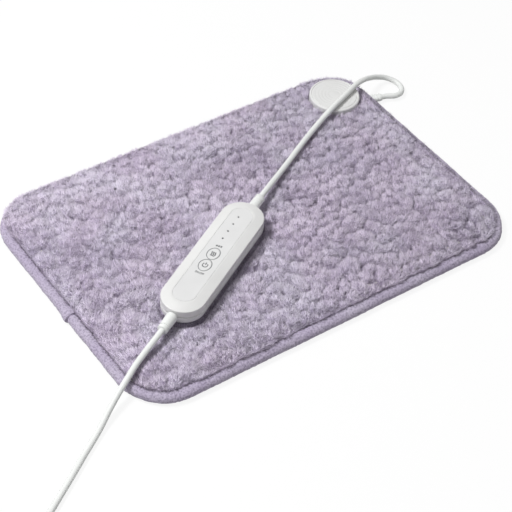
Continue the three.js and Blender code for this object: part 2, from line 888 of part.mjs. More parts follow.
function upperShell() {
  const bottom = partingHeight + seatGap / 2;
  const slope = Math.atan2(controllerHeight - shellEdgeHeight, topFlatInset - shellTopRound);
  const topAngle = 90 - THREE.MathUtils.radToDeg(slope);
  const edge = roundCorner(shellTopRound, shellEdgeHeight - shellTopRound, shellTopRound, 0, topAngle);
  const shell = controllerSkin([
    [topFlatInset, controllerHeight],
    ...edge.reverse(),
    [0, bottom],
    [shellWall, bottom],
    [shellWall, shellEdgeHeight - shellRoof],
    [topFlatInset, ceiling],
  ]);
  const bosses = caseScrews.map(([x, y]) => (
    rod(caseBossDiameter, bottom, ceiling).translate(x, y, 0)
  ));
  const pilots = caseScrews.map(([x, y]) => (
    screwHole(bottom - overrun, bottom + screwBite + seatGap).translate(x, y, 0)
  ));
  const recess = slab(
    longRound(panelLength + 2 * seatGap, panelWidth + 2 * seatGap),
    recessFloor,
    controllerHeight + overrun,
  );
  return cut(joined(shell, bosses), [...pilots, recess, ...faceHoles(), ...bootHoles()]);
}

const caseHeadSeat = screwHeadDepth;

function lowerShell() {
  const top = partingHeight - seatGap / 2;
  const round = roundCorner(shellBottomRound, shellBottomRound, shellBottomRound, -90, 0);
  const lipOut = shellWall + seatGap;
  const lipIn = lipOut + lipThickness;
  const innerRound = shellFloor + shellInnerRound;
  const shell = controllerSkin([
    ...round,
    [0, top],
    [lipOut, top],
    [lipOut, top + lipHeight],
    [lipIn, top + lipHeight],
    [lipIn, top - lipFoot],
    [shellWall, top - lipFoot - lipThickness],
    [shellWall, innerRound],
    [shellWall + shellInnerRound, shellFloor],
  ]);
  const posts = caseScrews.map(([x, y]) => rod(casePostDiameter, shellFloor / 2, top).translate(x, y, 0));
  const boardPosts = bothEnds.flatMap((end) => bothEnds.map((side) => (
    rod(boardPostDiameter, shellFloor / 2, shellFloor + boardLift - seatGap)
      .translate(end * boardPostPlace[0], side * boardPostPlace[1], 0)
  )));
  const screwHoles = caseScrews.flatMap(([x, y]) => [
    screwHole(-overrun, top + overrun).translate(x, y, 0),
    screwHeadHole(-overrun, caseHeadSeat + screwHeadHeight).translate(x, y, 0),
  ]);
  return cut(joined(shell, [...posts, ...boardPosts]), [...screwHoles, ...bootHoles()]);
}

function facePanel() {
  const plate = slab(
    longRound(panelLength, panelWidth),
    controllerHeight - panelThickness,
    controllerHeight,
  );
  return cut(plate, faceHoles());
}

function key(place) {
  const top = controllerHeight + keyProud;
  const flangeTop = ceiling - seatGap;
  const flangeBottom = flangeTop - keyFlangeThickness;
  const stem = [keyStemDiameter, keyStemDiameter];
  const dish = 2 * keyEdgeRound;
  return skin([
    [stem, flangeBottom - keyStemLength],
    [stem, flangeBottom],
    [[keyFlangeLength, keyFlangeWidth], flangeBottom],
    [[keyFlangeLength, keyFlangeWidth], flangeTop],
    [[keyLength, keyWidth], flangeTop],
    [[keyLength, keyWidth], top - keyEdgeRound],
    [[keyLength - dish, keyWidth - dish], top],
    [[keyLength / 2, keyWidth / 2], top - keyDish],
  ].map(([[length, width], height]) => (
    { outline: ovalOutline(length, width, keySides), height }
  ))).translate(place, 0, 0);
}

function lightGuide() {
  const top = ceiling - seatGap;
  const first = lampPlaces[0];
  const last = lampPlaces.at(-1);
  const bar = block(last - first + lampBarWidth, lampBarWidth, top - lampBarThickness, top)
    .translate((first + last) / 2, lampOffset, 0);
  const lampTop = boardTop + seatGap + lampBodyHeight + seatGap;
  const pegs = lampPlaces.flatMap((place) => [
    rod(lampTipDiameter, top - lampBarThickness / 2, controllerHeight).translate(place, lampOffset, 0),
    rod(lampLegDiameter, lampTop, top - lampBarThickness / 2).translate(place, lampOffset, 0),
  ]);
  return joined(bar, pegs);
}

function keySwitch(place) {
  const bottom = boardTop + seatGap;
  const plungerTop = ceiling - seatGap - keyFlangeThickness - keyStemLength - keyTravel - seatGap;
  const body = block(switchSide, switchSide, bottom, bottom + switchHeight);
  return joined(body, [rod(plungerDiameter, bottom + switchHeight / 2, plungerTop)]).translate(place, 0, 0);
}

function onBoard([length, width, height], [x, y]) {
  return block(length, width, boardTop + seatGap, boardTop + seatGap + height).translate(x, y, 0);
}

function lyingRound(profile, diameter, [x, y]) {
  return alongX(turned(profile, screwSides)).translate(x, y, boardTop + seatGap + diameter / 2);
}

function smoothingCapacitor() {
  const radius = smoothingDiameter / 2;
  const half = smoothingLength / 2;
  const crimpAt = half - smoothingCrimp * 5;
  return lyingRound([
    [0, -half],
    [radius, -half],
    [radius, crimpAt],
    [radius - smoothingCrimp, crimpAt + smoothingCrimp],
    [radius, crimpAt + 2 * smoothingCrimp],
    [radius, half],
    [0, half],
  ], smoothingDiameter, smoothingPlace);
}

function fuse() {
  const radius = fuseDiameter / 2;
  const glass = fuseGlassDiameter / 2;
  const half = fuseLength / 2;
  return lyingRound([
    [0, -half],
    [radius, -half],
    [radius, fuseCap - half],
    [glass, fuseCap - half],
    [glass, half - fuseCap],
    [radius, half - fuseCap],
    [radius, half],
    [0, half],
  ], fuseDiameter, fusePlace);
}

function filmCapacitor() {
  const [length, width, height] = filmCapacitorSize;
  const bottom = boardTop + seatGap;
  const full = roundedOutline(length, width, filmCapacitorRound, 2);
  const top = roundedOutline(
    length - filmCapacitorRound,
    width - filmCapacitorRound,
    filmCapacitorRound / 2,
    2,
  );
  return skin([
    { outline: full, height: bottom },
    { outline: full, height: bottom + height - filmCapacitorRound / 2 },
    { outline: top, height: bottom + height },
  ]).translate(filmCapacitorPlace[0], filmCapacitorPlace[1], 0);
}

function triac() {
  const [length] = triacSize;
  const body = onBoard(triacSize, triacPlace);
  const tab = onBoard(triacTab, [triacPlace[0] - length / 2 - triacTab[0] / 2 + overrun, triacPlace[1]]);
  return joined(body, [tab]);
}

// Strain relief of the housing, standing on Z with the housing's end face at zero
function boot() {
  const collar = bootCollarDiameter / 2;
  const neck = bootNeckDiameter / 2;
  const flange = bootFlangeDiameter / 2;
  const tip = bootTipDiameter / 2;
  const inside = -shellWall - seatGap;
  const ribStart = bootCollarLength;
  const pitch = (bootLength - ribStart) / bootGrooves;
  const ribs = Array.from({ length: bootGrooves }, (_, i) => {
    const from = ribStart + pitch * i;
    const radius = collar - bootGrooveDepth + (tip - collar + bootGrooveDepth) * (i / bootGrooves);
    return [
      [radius - bootGrooveDepth, from + bootGrooveWidth / 4],
      [radius - bootGrooveDepth, from + bootGrooveWidth],
      [radius, from + bootGrooveWidth * 5 / 4],
    ];
  }).flat();
  return turned([
    [0, inside - bootFlangeThickness],
    [flange, inside - bootFlangeThickness],
    [flange, inside],
    [neck, inside],
    [neck, seatGap],
    [collar, seatGap],
    [collar, bootCollarLength],
    ...ribs,
    [tip, bootLength],
    [0, bootLength],
  ], bootSides);
}

// Two insulated cores from a strain relief to the board, as seen at the +X end
function corePoints(side) {
  const start = halfLength - shellWall - bootFlangeThickness - 2 * seatGap;
  const places = corePlaces.map(([inward, aside, height]) => [halfLength - inward, aside, height]);
  return [[start, coreSpread, bootAxis], ...places].map(([x, y, z]) => spot([x, side * y, z]));
}

part('upper_shell', finish.shell, upperShell(), controller);
part('lower_shell', finish.shell, lowerShell(), controller);
part('face_panel', finish.panel, facePanel(), controller);
part('power_button', finish.key, key(powerKeyPlace), controller);
part('heat_button', finish.key, key(heatKeyPlace), controller);
part('light_guide', finish.smoke, lightGuide(), controller);
part('circuit_board', finish.board, slab(
  roundedOutline(boardLength, boardWidth, boardCornerRadius, 3),
  boardTop - boardThickness,
  boardTop,
), controller);
part('power_switch', finish.black, keySwitch(powerKeyPlace), controller);
part('heat_switch', finish.black, keySwitch(heatKeyPlace), controller);
lampPlaces.forEach((place, i) => {
  const size = [lampBodyLength, lampBodyWidth, lampBodyHeight];
  part(`lamp_${i + 1}`, finish.felt, onBoard(size, [place, lampOffset]), controller);
});
part('film_capacitor', finish.blue, filmCapacitor(), controller);
part('smoothing_capacitor', finish.black, smoothingCapacitor(), controller);
part('triac', finish.black, triac(), controller);
part('fuse', finish.felt, fuse(), controller);
part('control_chip', finish.black, onBoard(chipSize, chipPlace), controller);
caseScrews.forEach(([x, y], i) => {
  const length = partingHeight + seatGap / 2 + screwBite - caseHeadSeat;
  part(`case_screw_${i + 1}`, finish.steel, screw(length).translate(x, y, caseHeadSeat), controller);
});
const bootOnEnd = (turn) => alongX(boot()).translate(halfLength, 0, bootAxis).rotateZ(turn);
part('pad_lead_boot', finish.cord, bootOnEnd(0), controller);
part('mains_lead_boot', finish.cord, bootOnEnd(Math.PI), controller);
[['pad', 0], ['mains', Math.PI]].forEach(([lead, turn]) => {
  bothEnds.forEach((side, i) => {
    const points = smoothPoints(corePoints(side), coreSteps);
    part(`${lead}_core_${i + 1}`, finish.copper, tube(points, coreDiameter, coreSides).rotateZ(turn), controller);
  });
});

// Free cords

const cordRadius = cordDiameter / 2;
const controllerEnd = (end, beyond) => (
  spot([end * (halfLength + bootLength + beyond), 0, bootAxis]).applyMatrix4(controller.matrix)
);
const couplingEnd = (beyond) => (
  spot([couplingBootEnd + beyond, 0, couplingBootAxis]).applyMatrix4(coupling.matrix)
);

// Coil: a steady spiral, in and out again layer by layer, that climbs where it turns back
const coilPitch = cordDiameter + coilGap;
const turnsPerLayer = coilTurns / coilLayers;
const coilReach = (turnsPerLayer * coilPitch) / 2;
const tieSpread = tieThickness + tieClearance;
const coilTilt = tieSpread / (coilMeanDiameter + 2 * coilReach);

function coilPoint(turn) {
  const layerShare = turn / turnsPerLayer;
  const layer = Math.min(Math.floor(layerShare), coilLayers - 1);
  const within = layerShare - layer;
  const inward = layer % 2 === 0 ? 1 - 2 * within : 2 * within - 1;
  const radius = coilMeanDiameter / 2 + coilReach * inward;
  const climbTurns = 1 / 2;
  let height = 0;
  for (let change = 1; change < coilLayers; change += 1) {
    const from = change * turnsPerLayer - climbTurns / 2;
    height += coilPitch * THREE.MathUtils.smoothstep(turn, from, from + climbTurns);
  }
  const angle = heading(coilStart) + 2 * Math.PI * turn;
  const tieSide = Math.cos(angle - heading(tieAngle));
  const lift = coilTilt * (coilMeanDiameter / 2 + coilReach + radius * tieSide);
  return spot([
    coilPlace[0] + radius * Math.cos(angle),
    coilPlace[1] + radius * Math.sin(angle),
    cordRadius + floorGap + height + lift,
  ]);
}

function coilPoints() {
  const steps = Math.round(coilTurns * coilStepsPerTurn);
  const loops = Array.from({ length: steps + 1 }, (_, step) => coilPoint((coilTurns * step) / steps));
  const lead = loops[0].clone().sub(loops[1]).setLength(cordDiameter).add(loops[0]);
  const tail = loops.at(-1).clone().sub(loops.at(-2)).setLength(cordDiameter).add(loops.at(-1));
  return [lead, ...loops, tail];
}

function leastGap(points, skipped) {
  let least = Infinity;
  points.forEach((here, i) => {
    for (let j = i + skipped; j < points.length; j += 1) {
      least = Math.min(least, here.distanceTo(points[j]));
    }
  });
  return least - cordDiameter;
}

const coil = coilPoints();
const coilChecks = Array.from({ length: 1200 }, (_, i) => coilPoint((coilTurns * i) / 1199));
console.log('coil least gap to itself, mm:', leastGap(coilChecks, 60).toFixed(3));

function trimmed(points, from, to) {
  const first = points[0];
  const last = points.at(-1);
  const start = points[1].clone().sub(first).setLength(from).add(first);
  const end = points.at(-2).clone().sub(last).setLength(to).add(last);
  return [start, ...points.slice(1, -1), end];
}

function lengthOf(points) {
  return points.slice(1).reduce((sum, point, i) => sum + point.distanceTo(points[i]), 0);
}

const padLead = smoothPoints([
  controllerEnd(1, seatGap),
  controllerEnd(1, cordDiameter),
  ...padLeadPlaces.map(spot),
  couplingEnd(cordDiameter),
  couplingEnd(seatGap),
], padLeadSteps);
const mainsLead = trimmed(smoothPoints([
  controllerEnd(-1, seatGap),
  controllerEnd(-1, cordDiameter),
  ...mainsLeadPlaces.map(spot),
  coil[0].clone().sub(coil[1]).add(coil[0]),
  coil[0],
], mainsLeadSteps), 0, seatGap);

const plug = new THREE.Group();
plug.position.set(plugPlace[0], plugPlace[1], plugThickness / 2 + floorGap);
plug.rotation.z = heading(plugHeading);
plug.updateMatrix();
model.add(plug);
const plugEntry = (beyond) => spot([-plugBootLength - beyond, 0, 0]).applyMatrix4(plug.matrix);
const tail = trimmed(smoothPoints([
  coil.at(-1),
  coil.at(-1).clone().sub(coil.at(-2)).add(coil.at(-1)),
  ...tailPlaces.map(spot),
  plugEntry(cordDiameter),
  plugEntry(seatGap),
], tailSteps), seatGap, 0);

console.log('pad lead, mm:', lengthOf(padLead).toFixed(1));
console.log('mains lead, coil and tail, mm:', [mainsLead, coil, tail].map((p) => lengthOf(p).toFixed(1)));

// Tie: a flat strap round the bundle of turns
function coilTie() {
  const near = heading(15);
  const around = coilChecks.filter((point) => {
    const angle = Math.atan2(point.y - coilPlace[1], point.x - coilPlace[0]);
    return Math.abs(Math.sin((angle - heading(tieAngle)) / 2)) < Math.sin(near / 2);
  });
  const radii = around.map((point) => Math.hypot(point.x - coilPlace[0], point.y - coilPlace[1]));
  const heights = around.map((point) => point.z);
  const room = cordRadius + tieClearance;
  const inner = {
    left: Math.min(...radii) - room,
    right: Math.max(...radii) + room,
    low: Math.min(...heights) - cordRadius - tieClearance / 2,
    high: Math.max(...heights) + room,
  };
  const width = inner.right - inner.left;
  const height = inner.high - inner.low;
  const strap = slab(
    roundedOutline(width + 2 * tieThickness, height + 2 * tieThickness, tieCornerRadius + tieThickness, 4),
    -tieWidth / 2,
    tieWidth / 2,
  );
  const room2 = slab(
    roundedOutline(width, height, tieCornerRadius, 4),
    -tieWidth / 2 - overrun,
    tieWidth / 2 + overrun,
  );
  return cut(strap, [room2])
    .rotateX(Math.PI / 2)
    .translate((inner.left + inner.right) / 2, 0, (inner.low + inner.high) / 2)
    .rotateZ(heading(tieAngle))
    .translate(coilPlace[0], coilPlace[1], 0);
}

part('pad_lead', finish.cord, tube(padLead, cordDiameter, cordSides));
part('mains_lead', finish.cord, tube(mainsLead, cordDiameter, cordSides));
part('mains_coil', finish.cord, tube(coil, cordDiameter, coilSidesPerTube));
part('plug_tail', finish.cord, tube(tail, cordDiameter, cordSides));
part('coil_tie', finish.tie, coilTie());

// Plug, lying flat: its rear face at the group's origin

function plugBody() {
  const levels = plugRunShares.map((share, i) => {
    const width = plugRearWidth + (plugWidth - plugRearWidth) * plugWidthShares[i];
    const thick = plugRearThickness + (plugThickness - plugRearThickness) * plugWidthShares[i];
    return { outline: roundedOutline(thick, width, plugCornerRadius, 3), height: plugBodyLength * share };
  });
  return alongX(skin(levels));
}

function plugBoot() {
  const front = bootCollarDiameter / 2;
  const tip = bootTipDiameter / 2;
  const rear = -plugBootLength;
  return alongX(turned([
    [0, -seatGap],
    [front, -seatGap],
    [front, rear * 2 / 5],
    [tip, rear],
    [0, rear],
  ].reverse(), bootSides));
}

function plugPin(side) {
  const radius = pinDiameter / 2;
  const from = plugBodyLength + seatGap;
  const to = plugBodyLength + pinLength;
  return alongX(turned([
    [0, from],
    [radius, from],
    [radius, to - pinTip],
    [radius - pinTip, to],
    [0, to],
  ], pinSides)).translate(0, (side * pinSpacing) / 2, 0);
}

part('plug_body', finish.cord, plugBody(), plug);
part('plug_boot', finish.cord, plugBoot(), plug);
bothEnds.forEach((side, i) => part(`plug_pin_${i + 1}`, finish.steel, plugPin(side), plug));

export default model;
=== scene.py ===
import json
import math

import bmesh
import bpy
import numpy as np
from mathutils import Matrix, Vector

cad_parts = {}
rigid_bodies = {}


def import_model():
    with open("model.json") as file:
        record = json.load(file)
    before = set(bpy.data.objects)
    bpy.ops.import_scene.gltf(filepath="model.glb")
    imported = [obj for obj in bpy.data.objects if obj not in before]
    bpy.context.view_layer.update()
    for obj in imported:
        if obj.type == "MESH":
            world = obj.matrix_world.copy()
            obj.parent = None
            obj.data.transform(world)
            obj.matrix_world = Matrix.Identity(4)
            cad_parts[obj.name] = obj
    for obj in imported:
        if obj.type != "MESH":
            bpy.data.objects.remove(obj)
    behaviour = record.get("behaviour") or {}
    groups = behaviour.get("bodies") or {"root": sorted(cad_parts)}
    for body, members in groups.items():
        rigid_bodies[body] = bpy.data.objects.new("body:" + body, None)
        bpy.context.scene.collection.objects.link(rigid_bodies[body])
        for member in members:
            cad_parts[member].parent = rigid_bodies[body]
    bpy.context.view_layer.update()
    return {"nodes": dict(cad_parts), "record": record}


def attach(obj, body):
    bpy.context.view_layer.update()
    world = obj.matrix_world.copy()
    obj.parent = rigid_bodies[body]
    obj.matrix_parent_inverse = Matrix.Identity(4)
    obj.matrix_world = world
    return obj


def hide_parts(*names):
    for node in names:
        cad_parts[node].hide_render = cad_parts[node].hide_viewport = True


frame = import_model()

MM = 0.001

# Places that the cords pass through, as in the part's source
PAD_LEAD = [
    (58.9, 36.6, 19.3), (85.2, 51, 19), (108.3, 63, 19), (131.3, 73.6, 20), (146, 79.2, 21.8),
    (167.9, 87.8, 22.1), (186, 95, 22.1), (199.5, 99.6, 19.6), (211.5, 103.4, 14.8),
    (222.8, 105.2, 10), (233, 103.2, 6.4), (239.6, 96, 4), (240, 87.6, 3.2), (234, 79.8, 3.6),
    (225, 77.8, 4.6),
]
MAINS_LEAD = [
    (-166.5, -86.4, 21), (-183.6, -94.4, 17.9), (-197, -101.6, 14.3), (-209.3, -108.2, 10.4),
    (-222, -115.8, 6.4), (-231.5, -122.2, 4), (-241, -128.6, 2.9), (-256, -138.4, 2.7),
    (-276, -152, 2.7), (-298, -166.6, 2.7), (-320, -181, 2.7),
]
PLUG_TAIL = [(-327, -278.5, 17.5), (-312, -286, 10), (-297, -293.4, 6.9), (-285, -299.2, 6.9)]
CORD_DIAMETER = 5.3
CORD_END_GAP = 0.3

# Coil of the mains lead
COIL_PLACE = (-330, -233)
COIL_MEAN_DIAMETER = 61
COIL_TURNS = 9 + 1 / 3
COIL_LAYERS = 4
COIL_PITCH = CORD_DIAMETER + 0.55
COIL_START = 123.5
COIL_TIE_ANGLE = 303.5
COIL_TIE_SPREAD = 1.5
COIL_LIFT = 0.05

# Controller and coupling, as in the part's source
CONTROLLER_LENGTH = 146.6
CONTROLLER_WIDTH = 39
CONTROLLER_TOP = 16.3
CONTROLLER_FLOOR = 16.3
PARTING = 7
BOOT_LENGTH = 18
COUPLING_BOOT_END = 51
COUPLING_BOOT_AXIS = 5
PLUG_BOOT_LENGTH = 24
PLUG_THICKNESS = 13.7

# Pad
PAD_LENGTH = 400
PAD_WIDTH = 270
PAD_CORNER = 44
HALF_LENGTH, HALF_WIDTH = PAD_LENGTH / 2, PAD_WIDTH / 2
BINDING_FLAP = 8
DISC_CLEARANCE = 25.4


def turned_frame(x, y, z, degrees):
    return Matrix.Translation((x, y, z)) @ Matrix.Rotation(math.radians(degrees), 4, "Z")


CONTROLLER = turned_frame(-68.4, -34, CONTROLLER_FLOOR, 28.8)
COUPLING = turned_frame(162, 97, 0, -16)
PLUG = turned_frame(-246, -318.2, PLUG_THICKNESS / 2 + COIL_LIFT, -26)


# Objects and meshes


def linked(name, data):
    thing = bpy.data.objects.new(name, data)
    bpy.context.scene.collection.objects.link(thing)
    return thing


def mesh_from(bm, name):
    mesh = bpy.data.meshes.new(name)
    bm.to_mesh(mesh)
    bm.free()
    return mesh


def evaluated_mesh(thing):
    """The mesh that an object comes to, which takes the object's place."""
    bpy.context.view_layer.update()
    graph = bpy.context.evaluated_depsgraph_get()
    mesh = bpy.data.meshes.new_from_object(thing.evaluated_get(graph))
    bpy.data.batch_remove((thing, thing.data))
    return mesh


def finish_piece(bm, name, slot, nodes=(), place=None, body="pad", smooth=35, material=None):
    """Scales a mesh from millimetres, puts it in its place and makes it a piece of the object."""
    if place is not None:
        bm.transform(place)
    bm.transform(Matrix.Scale(MM, 4))
    mesh = mesh_from(bm, name)
    piece = linked(name, mesh)
    mesh.materials.append(material or finishes[slot])
    if smooth:
        mesh.shade_smooth()
        mesh.set_sharp_from_angle(angle=math.radians(smooth))
    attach(piece, body)
    if nodes:
        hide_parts(*nodes)
    return piece


def moved(bm, x, y=0.0, z=0.0):
    bm.transform(Matrix.Translation((x, y, z)))
    return bm


def laid_along_x(bm):
    bm.transform(Matrix.Rotation(math.pi / 2, 4, "Y"))
    return bm


def closed_up(bm, fill=True, distance=1e-4):
    bmesh.ops.remove_doubles(bm, verts=bm.verts, dist=distance)
    if fill:
        bmesh.ops.holes_fill(bm, edges=[e for e in bm.edges if e.is_boundary], sides=0)
    bmesh.ops.recalc_face_normals(bm, faces=bm.faces)
    return bm


def revolved(profile, steps=64):
    """A profile of radius and height, spun about Z. It starts and ends on the axis."""
    bm = bmesh.new()
    verts = [bm.verts.new((r, 0, z)) for r, z in profile]
    edges = [bm.edges.new(pair) for pair in zip(verts, verts[1:])]
    bmesh.ops.spin(
        bm, geom=[*verts, *edges], cent=(0, 0, 0), axis=(0, 0, 1), dvec=(0, 0, 0),
        angle=2 * math.pi, steps=steps, use_merge=True, use_duplicate=False,
    )
    return closed_up(bm, fill=False)


def rounded(profile, radius, steps=4):
    """The profile with the corners that have a radius turned into short arcs."""
    points = [np.array(p, float) for p in profile]
    soft = [points[0]]
    for before, corner, after, r in zip(points, points[1:], points[2:], radius):
        if not r:
            soft.append(corner)
            continue
        a = (before - corner) / np.linalg.norm(before - corner)
        b = (after - corner) / np.linalg.norm(after - corner)
        half = math.acos(max(-1, min(1, float(a @ b)))) / 2
        cut = r / math.tan(half)
        start, end = corner + a * cut, corner + b * cut
        for step in range(steps + 1):
            t = step / steps
            soft.append((1 - t) ** 2 * start + 2 * t * (1 - t) * corner + t * t * end)
    soft.append(points[-1])
    return [tuple(p) for p in soft]


class Outline:
    """A rounded rectangle: its point and outward normal for any share of the way round."""

    def __init__(self, length, width, radius, steps=48):
        points, normals = [], []
        for x, y, start in ((1, -1, -90), (1, 1, 0), (-1, 1, 90), (-1, -1, 180)):
            for angle in np.radians(np.linspace(start, start + 90, steps + 1)):
                normal = np.array((math.cos(angle), math.sin(angle)))
                corner = np.array((x * (length / 2 - radius), y * (width / 2 - radius)))
                points.append(corner + radius * normal)
                normals.append(normal)
        points.append(points[0])
        normals.append(normals[0])
        self.points, self.normals = np.array(points), np.array(normals)
        gaps = np.linalg.norm(np.diff(self.points, axis=0), axis=1)
        self.length = float(gaps.sum())
        self.shares = np.concatenate(([0], np.cumsum(gaps))) / self.length

    def at(self, share, inset):
        share = np.asarray(share) % 1.0
        point, normal = (
            np.stack([np.interp(share, self.shares, values[:, k]) for k in (0, 1)], 1)
            for values in (self.points, self.normals)
        )
        normal /= np.linalg.norm(normal, axis=1, keepdims=True)
        return point - normal * np.asarray(inset)[:, None]

    def share_of(self, x, y):
        shares = np.linspace(0, 1, 4001)
        points = self.at(shares, 0 * shares)
        return float(shares[np.argmin(np.hypot(points[:, 0] - x, points[:, 1] - y))])


def grid_mesh(columns, rows):
    """A grid as a new mesh, with each vertex's share of the way along it and its row."""
    bm = bmesh.new()
    bmesh.ops.create_grid(bm, x_segments=columns, y_segments=rows, size=0.5)
    grid = np.array([v.co[:2] for v in bm.verts]) + 0.5
    return bm, grid[:, 0], np.rint(grid[:, 1] * rows).astype(int)


def set_places(bm, *axes):
    for vert, place in zip(bm.verts, zip(*axes)):
        vert.co = place


def swept(outline, profile, columns, ring=False, shape=None):
    """A profile of inset and height taken round an outline. shape may move (share, inset, height)."""
    levels = np.array([*profile, profile[0]] if ring else profile, float)
    bm, share, row = grid_mesh(columns, len(levels) - 1)
    spans = np.concatenate(([0], np.cumsum(np.linalg.norm(np.diff(levels, axis=0), axis=1))))
    uv = np.stack([share * outline.length * MM, spans[row] * MM], 1)
    cloth = bm.loops.layers.uv.new("cloth")
    for vert, place in zip(bm.verts, uv):
        for loop in vert.link_loops:
            loop[cloth].uv = place
    inset, height = levels[row].T
    if shape is not None:
        share, inset, height = shape(share, inset, height)
    set_places(bm, *outline.at(share, inset).T, height)
    return closed_up(bm, fill=not ring)


def lofted(sections, sides=64):
    """Sections along X: place, half width (Y), half height (Z) and squareness from 2 up."""
    bm, share, row = grid_mesh(sides, len(sections) - 1)
    x, wide, high, square = np.array(sections, float)[row].T
    angle = 2 * np.pi * share
    across = np.sign(np.cos(angle)) * np.abs(np.cos(angle)) ** (2 / square) * wide
    up = np.sign(np.sin(angle)) * np.abs(np.sin(angle)) ** (2 / square) * high
    set_places(bm, x, across, up)
    return closed_up(bm)


def ovals(levels, sides=96, start=0.0, end=360.0):
    """Ovals of half length, half width and height, skinned in turn, as a whole turn or part of one."""
    bm, share, row = grid_mesh(sides, len(levels) - 1)
    long, wide, height = np.array(levels, float)[row].T
    angle = np.radians(start + (end - start) * share)
    set_places(bm, long * np.cos(angle), wide * np.sin(angle), height)
    return closed_up(bm)


def oval_band(long, wide, width, low, high, *turn):
    """A flat band of oval shape, lying on the face."""
    rows = [(0, low), (0, high), (width, high), (width, low), (0, low)]
    return ovals([(long + out, wide + out, height) for out, height in rows], *turn)


def merged(*meshes):
    """One mesh of several separate solids."""
    whole = bmesh.new()
    for bm in meshes:
        mesh = mesh_from(bm, "merging")
        whole.from_mesh(mesh)
        bpy.data.meshes.remove(mesh)
    return whole


def carved(bm, cutters):
    """The mesh with each cutter's space taken out of it."""
    stock, *tools = [linked("carving", mesh_from(source, "carving")) for source in (bm, *cutters)]
    for tool in tools:
        cut = stock.modifiers.new("cut", "BOOLEAN")
        cut.operation = "DIFFERENCE"
        cut.solver = "EXACT"
        cut.object = tool
    bpy.context.view_layer.update()
    result = bmesh.new()
    result.from_object(stock, bpy.context.evaluated_depsgraph_get())
    for thing in (stock, *tools):
        bpy.data.batch_remove((thing, thing.data))
    return result


# Camera, as measured from the photograph


def place_camera():
    right = Vector((0.81609, -0.574137, 0.066058))
    down = Vector((-0.368792, -0.605364, -0.705356))
    forward = Vector((0.44496, 0.551272, -0.705769))
    lens = bpy.data.cameras.new("photo_camera")
    lens.sensor_width = 36
    lens.lens = 105.212
    lens.clip_end = 30
    camera = linked("photo_camera", lens)
    turn = Matrix((right, -down, -forward)).transposed().to_4x4()
    camera.matrix_world = Matrix.Translation((-0.604239, -0.75466, 0.92784)) @ turn
    bpy.context.scene.camera = camera


# Routes


def smooth_route(places, spacing=2.0):
    """The centripetal curve through these places, with a point about every so many millimetres."""
    points = [np.array(p, float) for p in places]
    points = [2 * points[0] - points[1], *points, 2 * points[-1] - points[-2]]
    route = [points[1]]
    for a, b, c, d in zip(points, points[1:], points[2:], points[3:]):
        knots = np.cumsum([0.0, *(np.linalg.norm(q - p) ** 0.5 for p, q in ((a, b), (b, c), (c, d)))])
        steps = max(2, math.ceil(np.linalg.norm(c - b) / spacing))
        for step in range(1, steps + 1):
            t = knots[1] + (knots[2] - knots[1]) * step / steps

            def between(p, q, i, j):
                return (p * (knots[j] - t) + q * (t - knots[i])) / (knots[j] - knots[i])

            ab, bc, cd = between(a, b, 0, 1), between(b, c, 1, 2), between(c, d, 2, 3)
            route.append(between(between(ab, bc, 0, 2), between(bc, cd, 1, 3), 1, 2))
    return route


def smoothstep(x):
    x = np.clip(x, 0, 1)
    return x * x * (3 - 2 * x)


def coil_route(steps_per_turn=36):
    """Round the coil from its outside, with a climb at the end of each layer."""
    per_layer = COIL_TURNS / COIL_LAYERS
    reach = per_layer * COIL_PITCH / 2
    mean = COIL_MEAN_DIAMETER / 2
    tilt = COIL_TIE_SPREAD / (2 * mean + 2 * reach)
    route = []
    for turn in np.linspace(0, COIL_TURNS, round(COIL_TURNS * steps_per_turn) + 1):
        layer = min(int(turn / per_layer), COIL_LAYERS - 1)
        within = turn / per_layer - layer
        inward = 1 - 2 * within if layer % 2 == 0 else 2 * within - 1
        radius = mean + reach * inward
        changes = [change * per_layer for change in range(1, COIL_LAYERS)]
        climb = sum(smoothstep((turn - change + 0.25) / 0.5) for change in changes)
        angle = math.radians(COIL_START) + 2 * math.pi * turn
        lift = tilt * (mean + reach + radius * math.cos(angle - math.radians(COIL_TIE_ANGLE)))
        route.append(np.array((
            COIL_PLACE[0] + radius * math.cos(angle),
            COIL_PLACE[1] + radius * math.sin(angle),
            CORD_DIAMETER / 2 + COIL_LIFT + climb * COIL_PITCH + lift,
        )))
    return route


def boot_axis(place, height):
    return place @ Matrix.Translation((0, 0, height))


def cord_exit(place, end):
    """The cord's first two places straight out of a boot whose end is there along X."""
    way = math.copysign(1, end)
    return [np.array(place @ Vector((end + way * gap, 0, 0))) for gap in (CORD_END_GAP, CORD_DIAMETER)]


def beyond_coil(end, inner):
    return end + (end - inner) / np.linalg.norm(end - inner) * CORD_DIAMETER


def cord_routes():
    housing = boot_axis(CONTROLLER, PARTING)
    coupling = boot_axis(COUPLING, COUPLING_BOOT_AXIS)
    end = CONTROLLER_LENGTH / 2 + BOOT_LENGTH
    into_coupling = cord_exit(coupling, COUPLING_BOOT_END)[::-1]
    into_plug = cord_exit(PLUG, -PLUG_BOOT_LENGTH)[::-1]
    coil = coil_route()
    pad_route = smooth_route([*cord_exit(housing, end), *PAD_LEAD, *into_coupling])
    lead = smooth_route([
        *cord_exit(housing, -end), *MAINS_LEAD, beyond_coil(coil[0], coil[1]), coil[0],
    ])
    tail = smooth_route([coil[-1], beyond_coil(coil[-1], coil[-2]), *PLUG_TAIL, *into_plug])
    return pad_route, [*lead, *coil[1:-1], *tail]


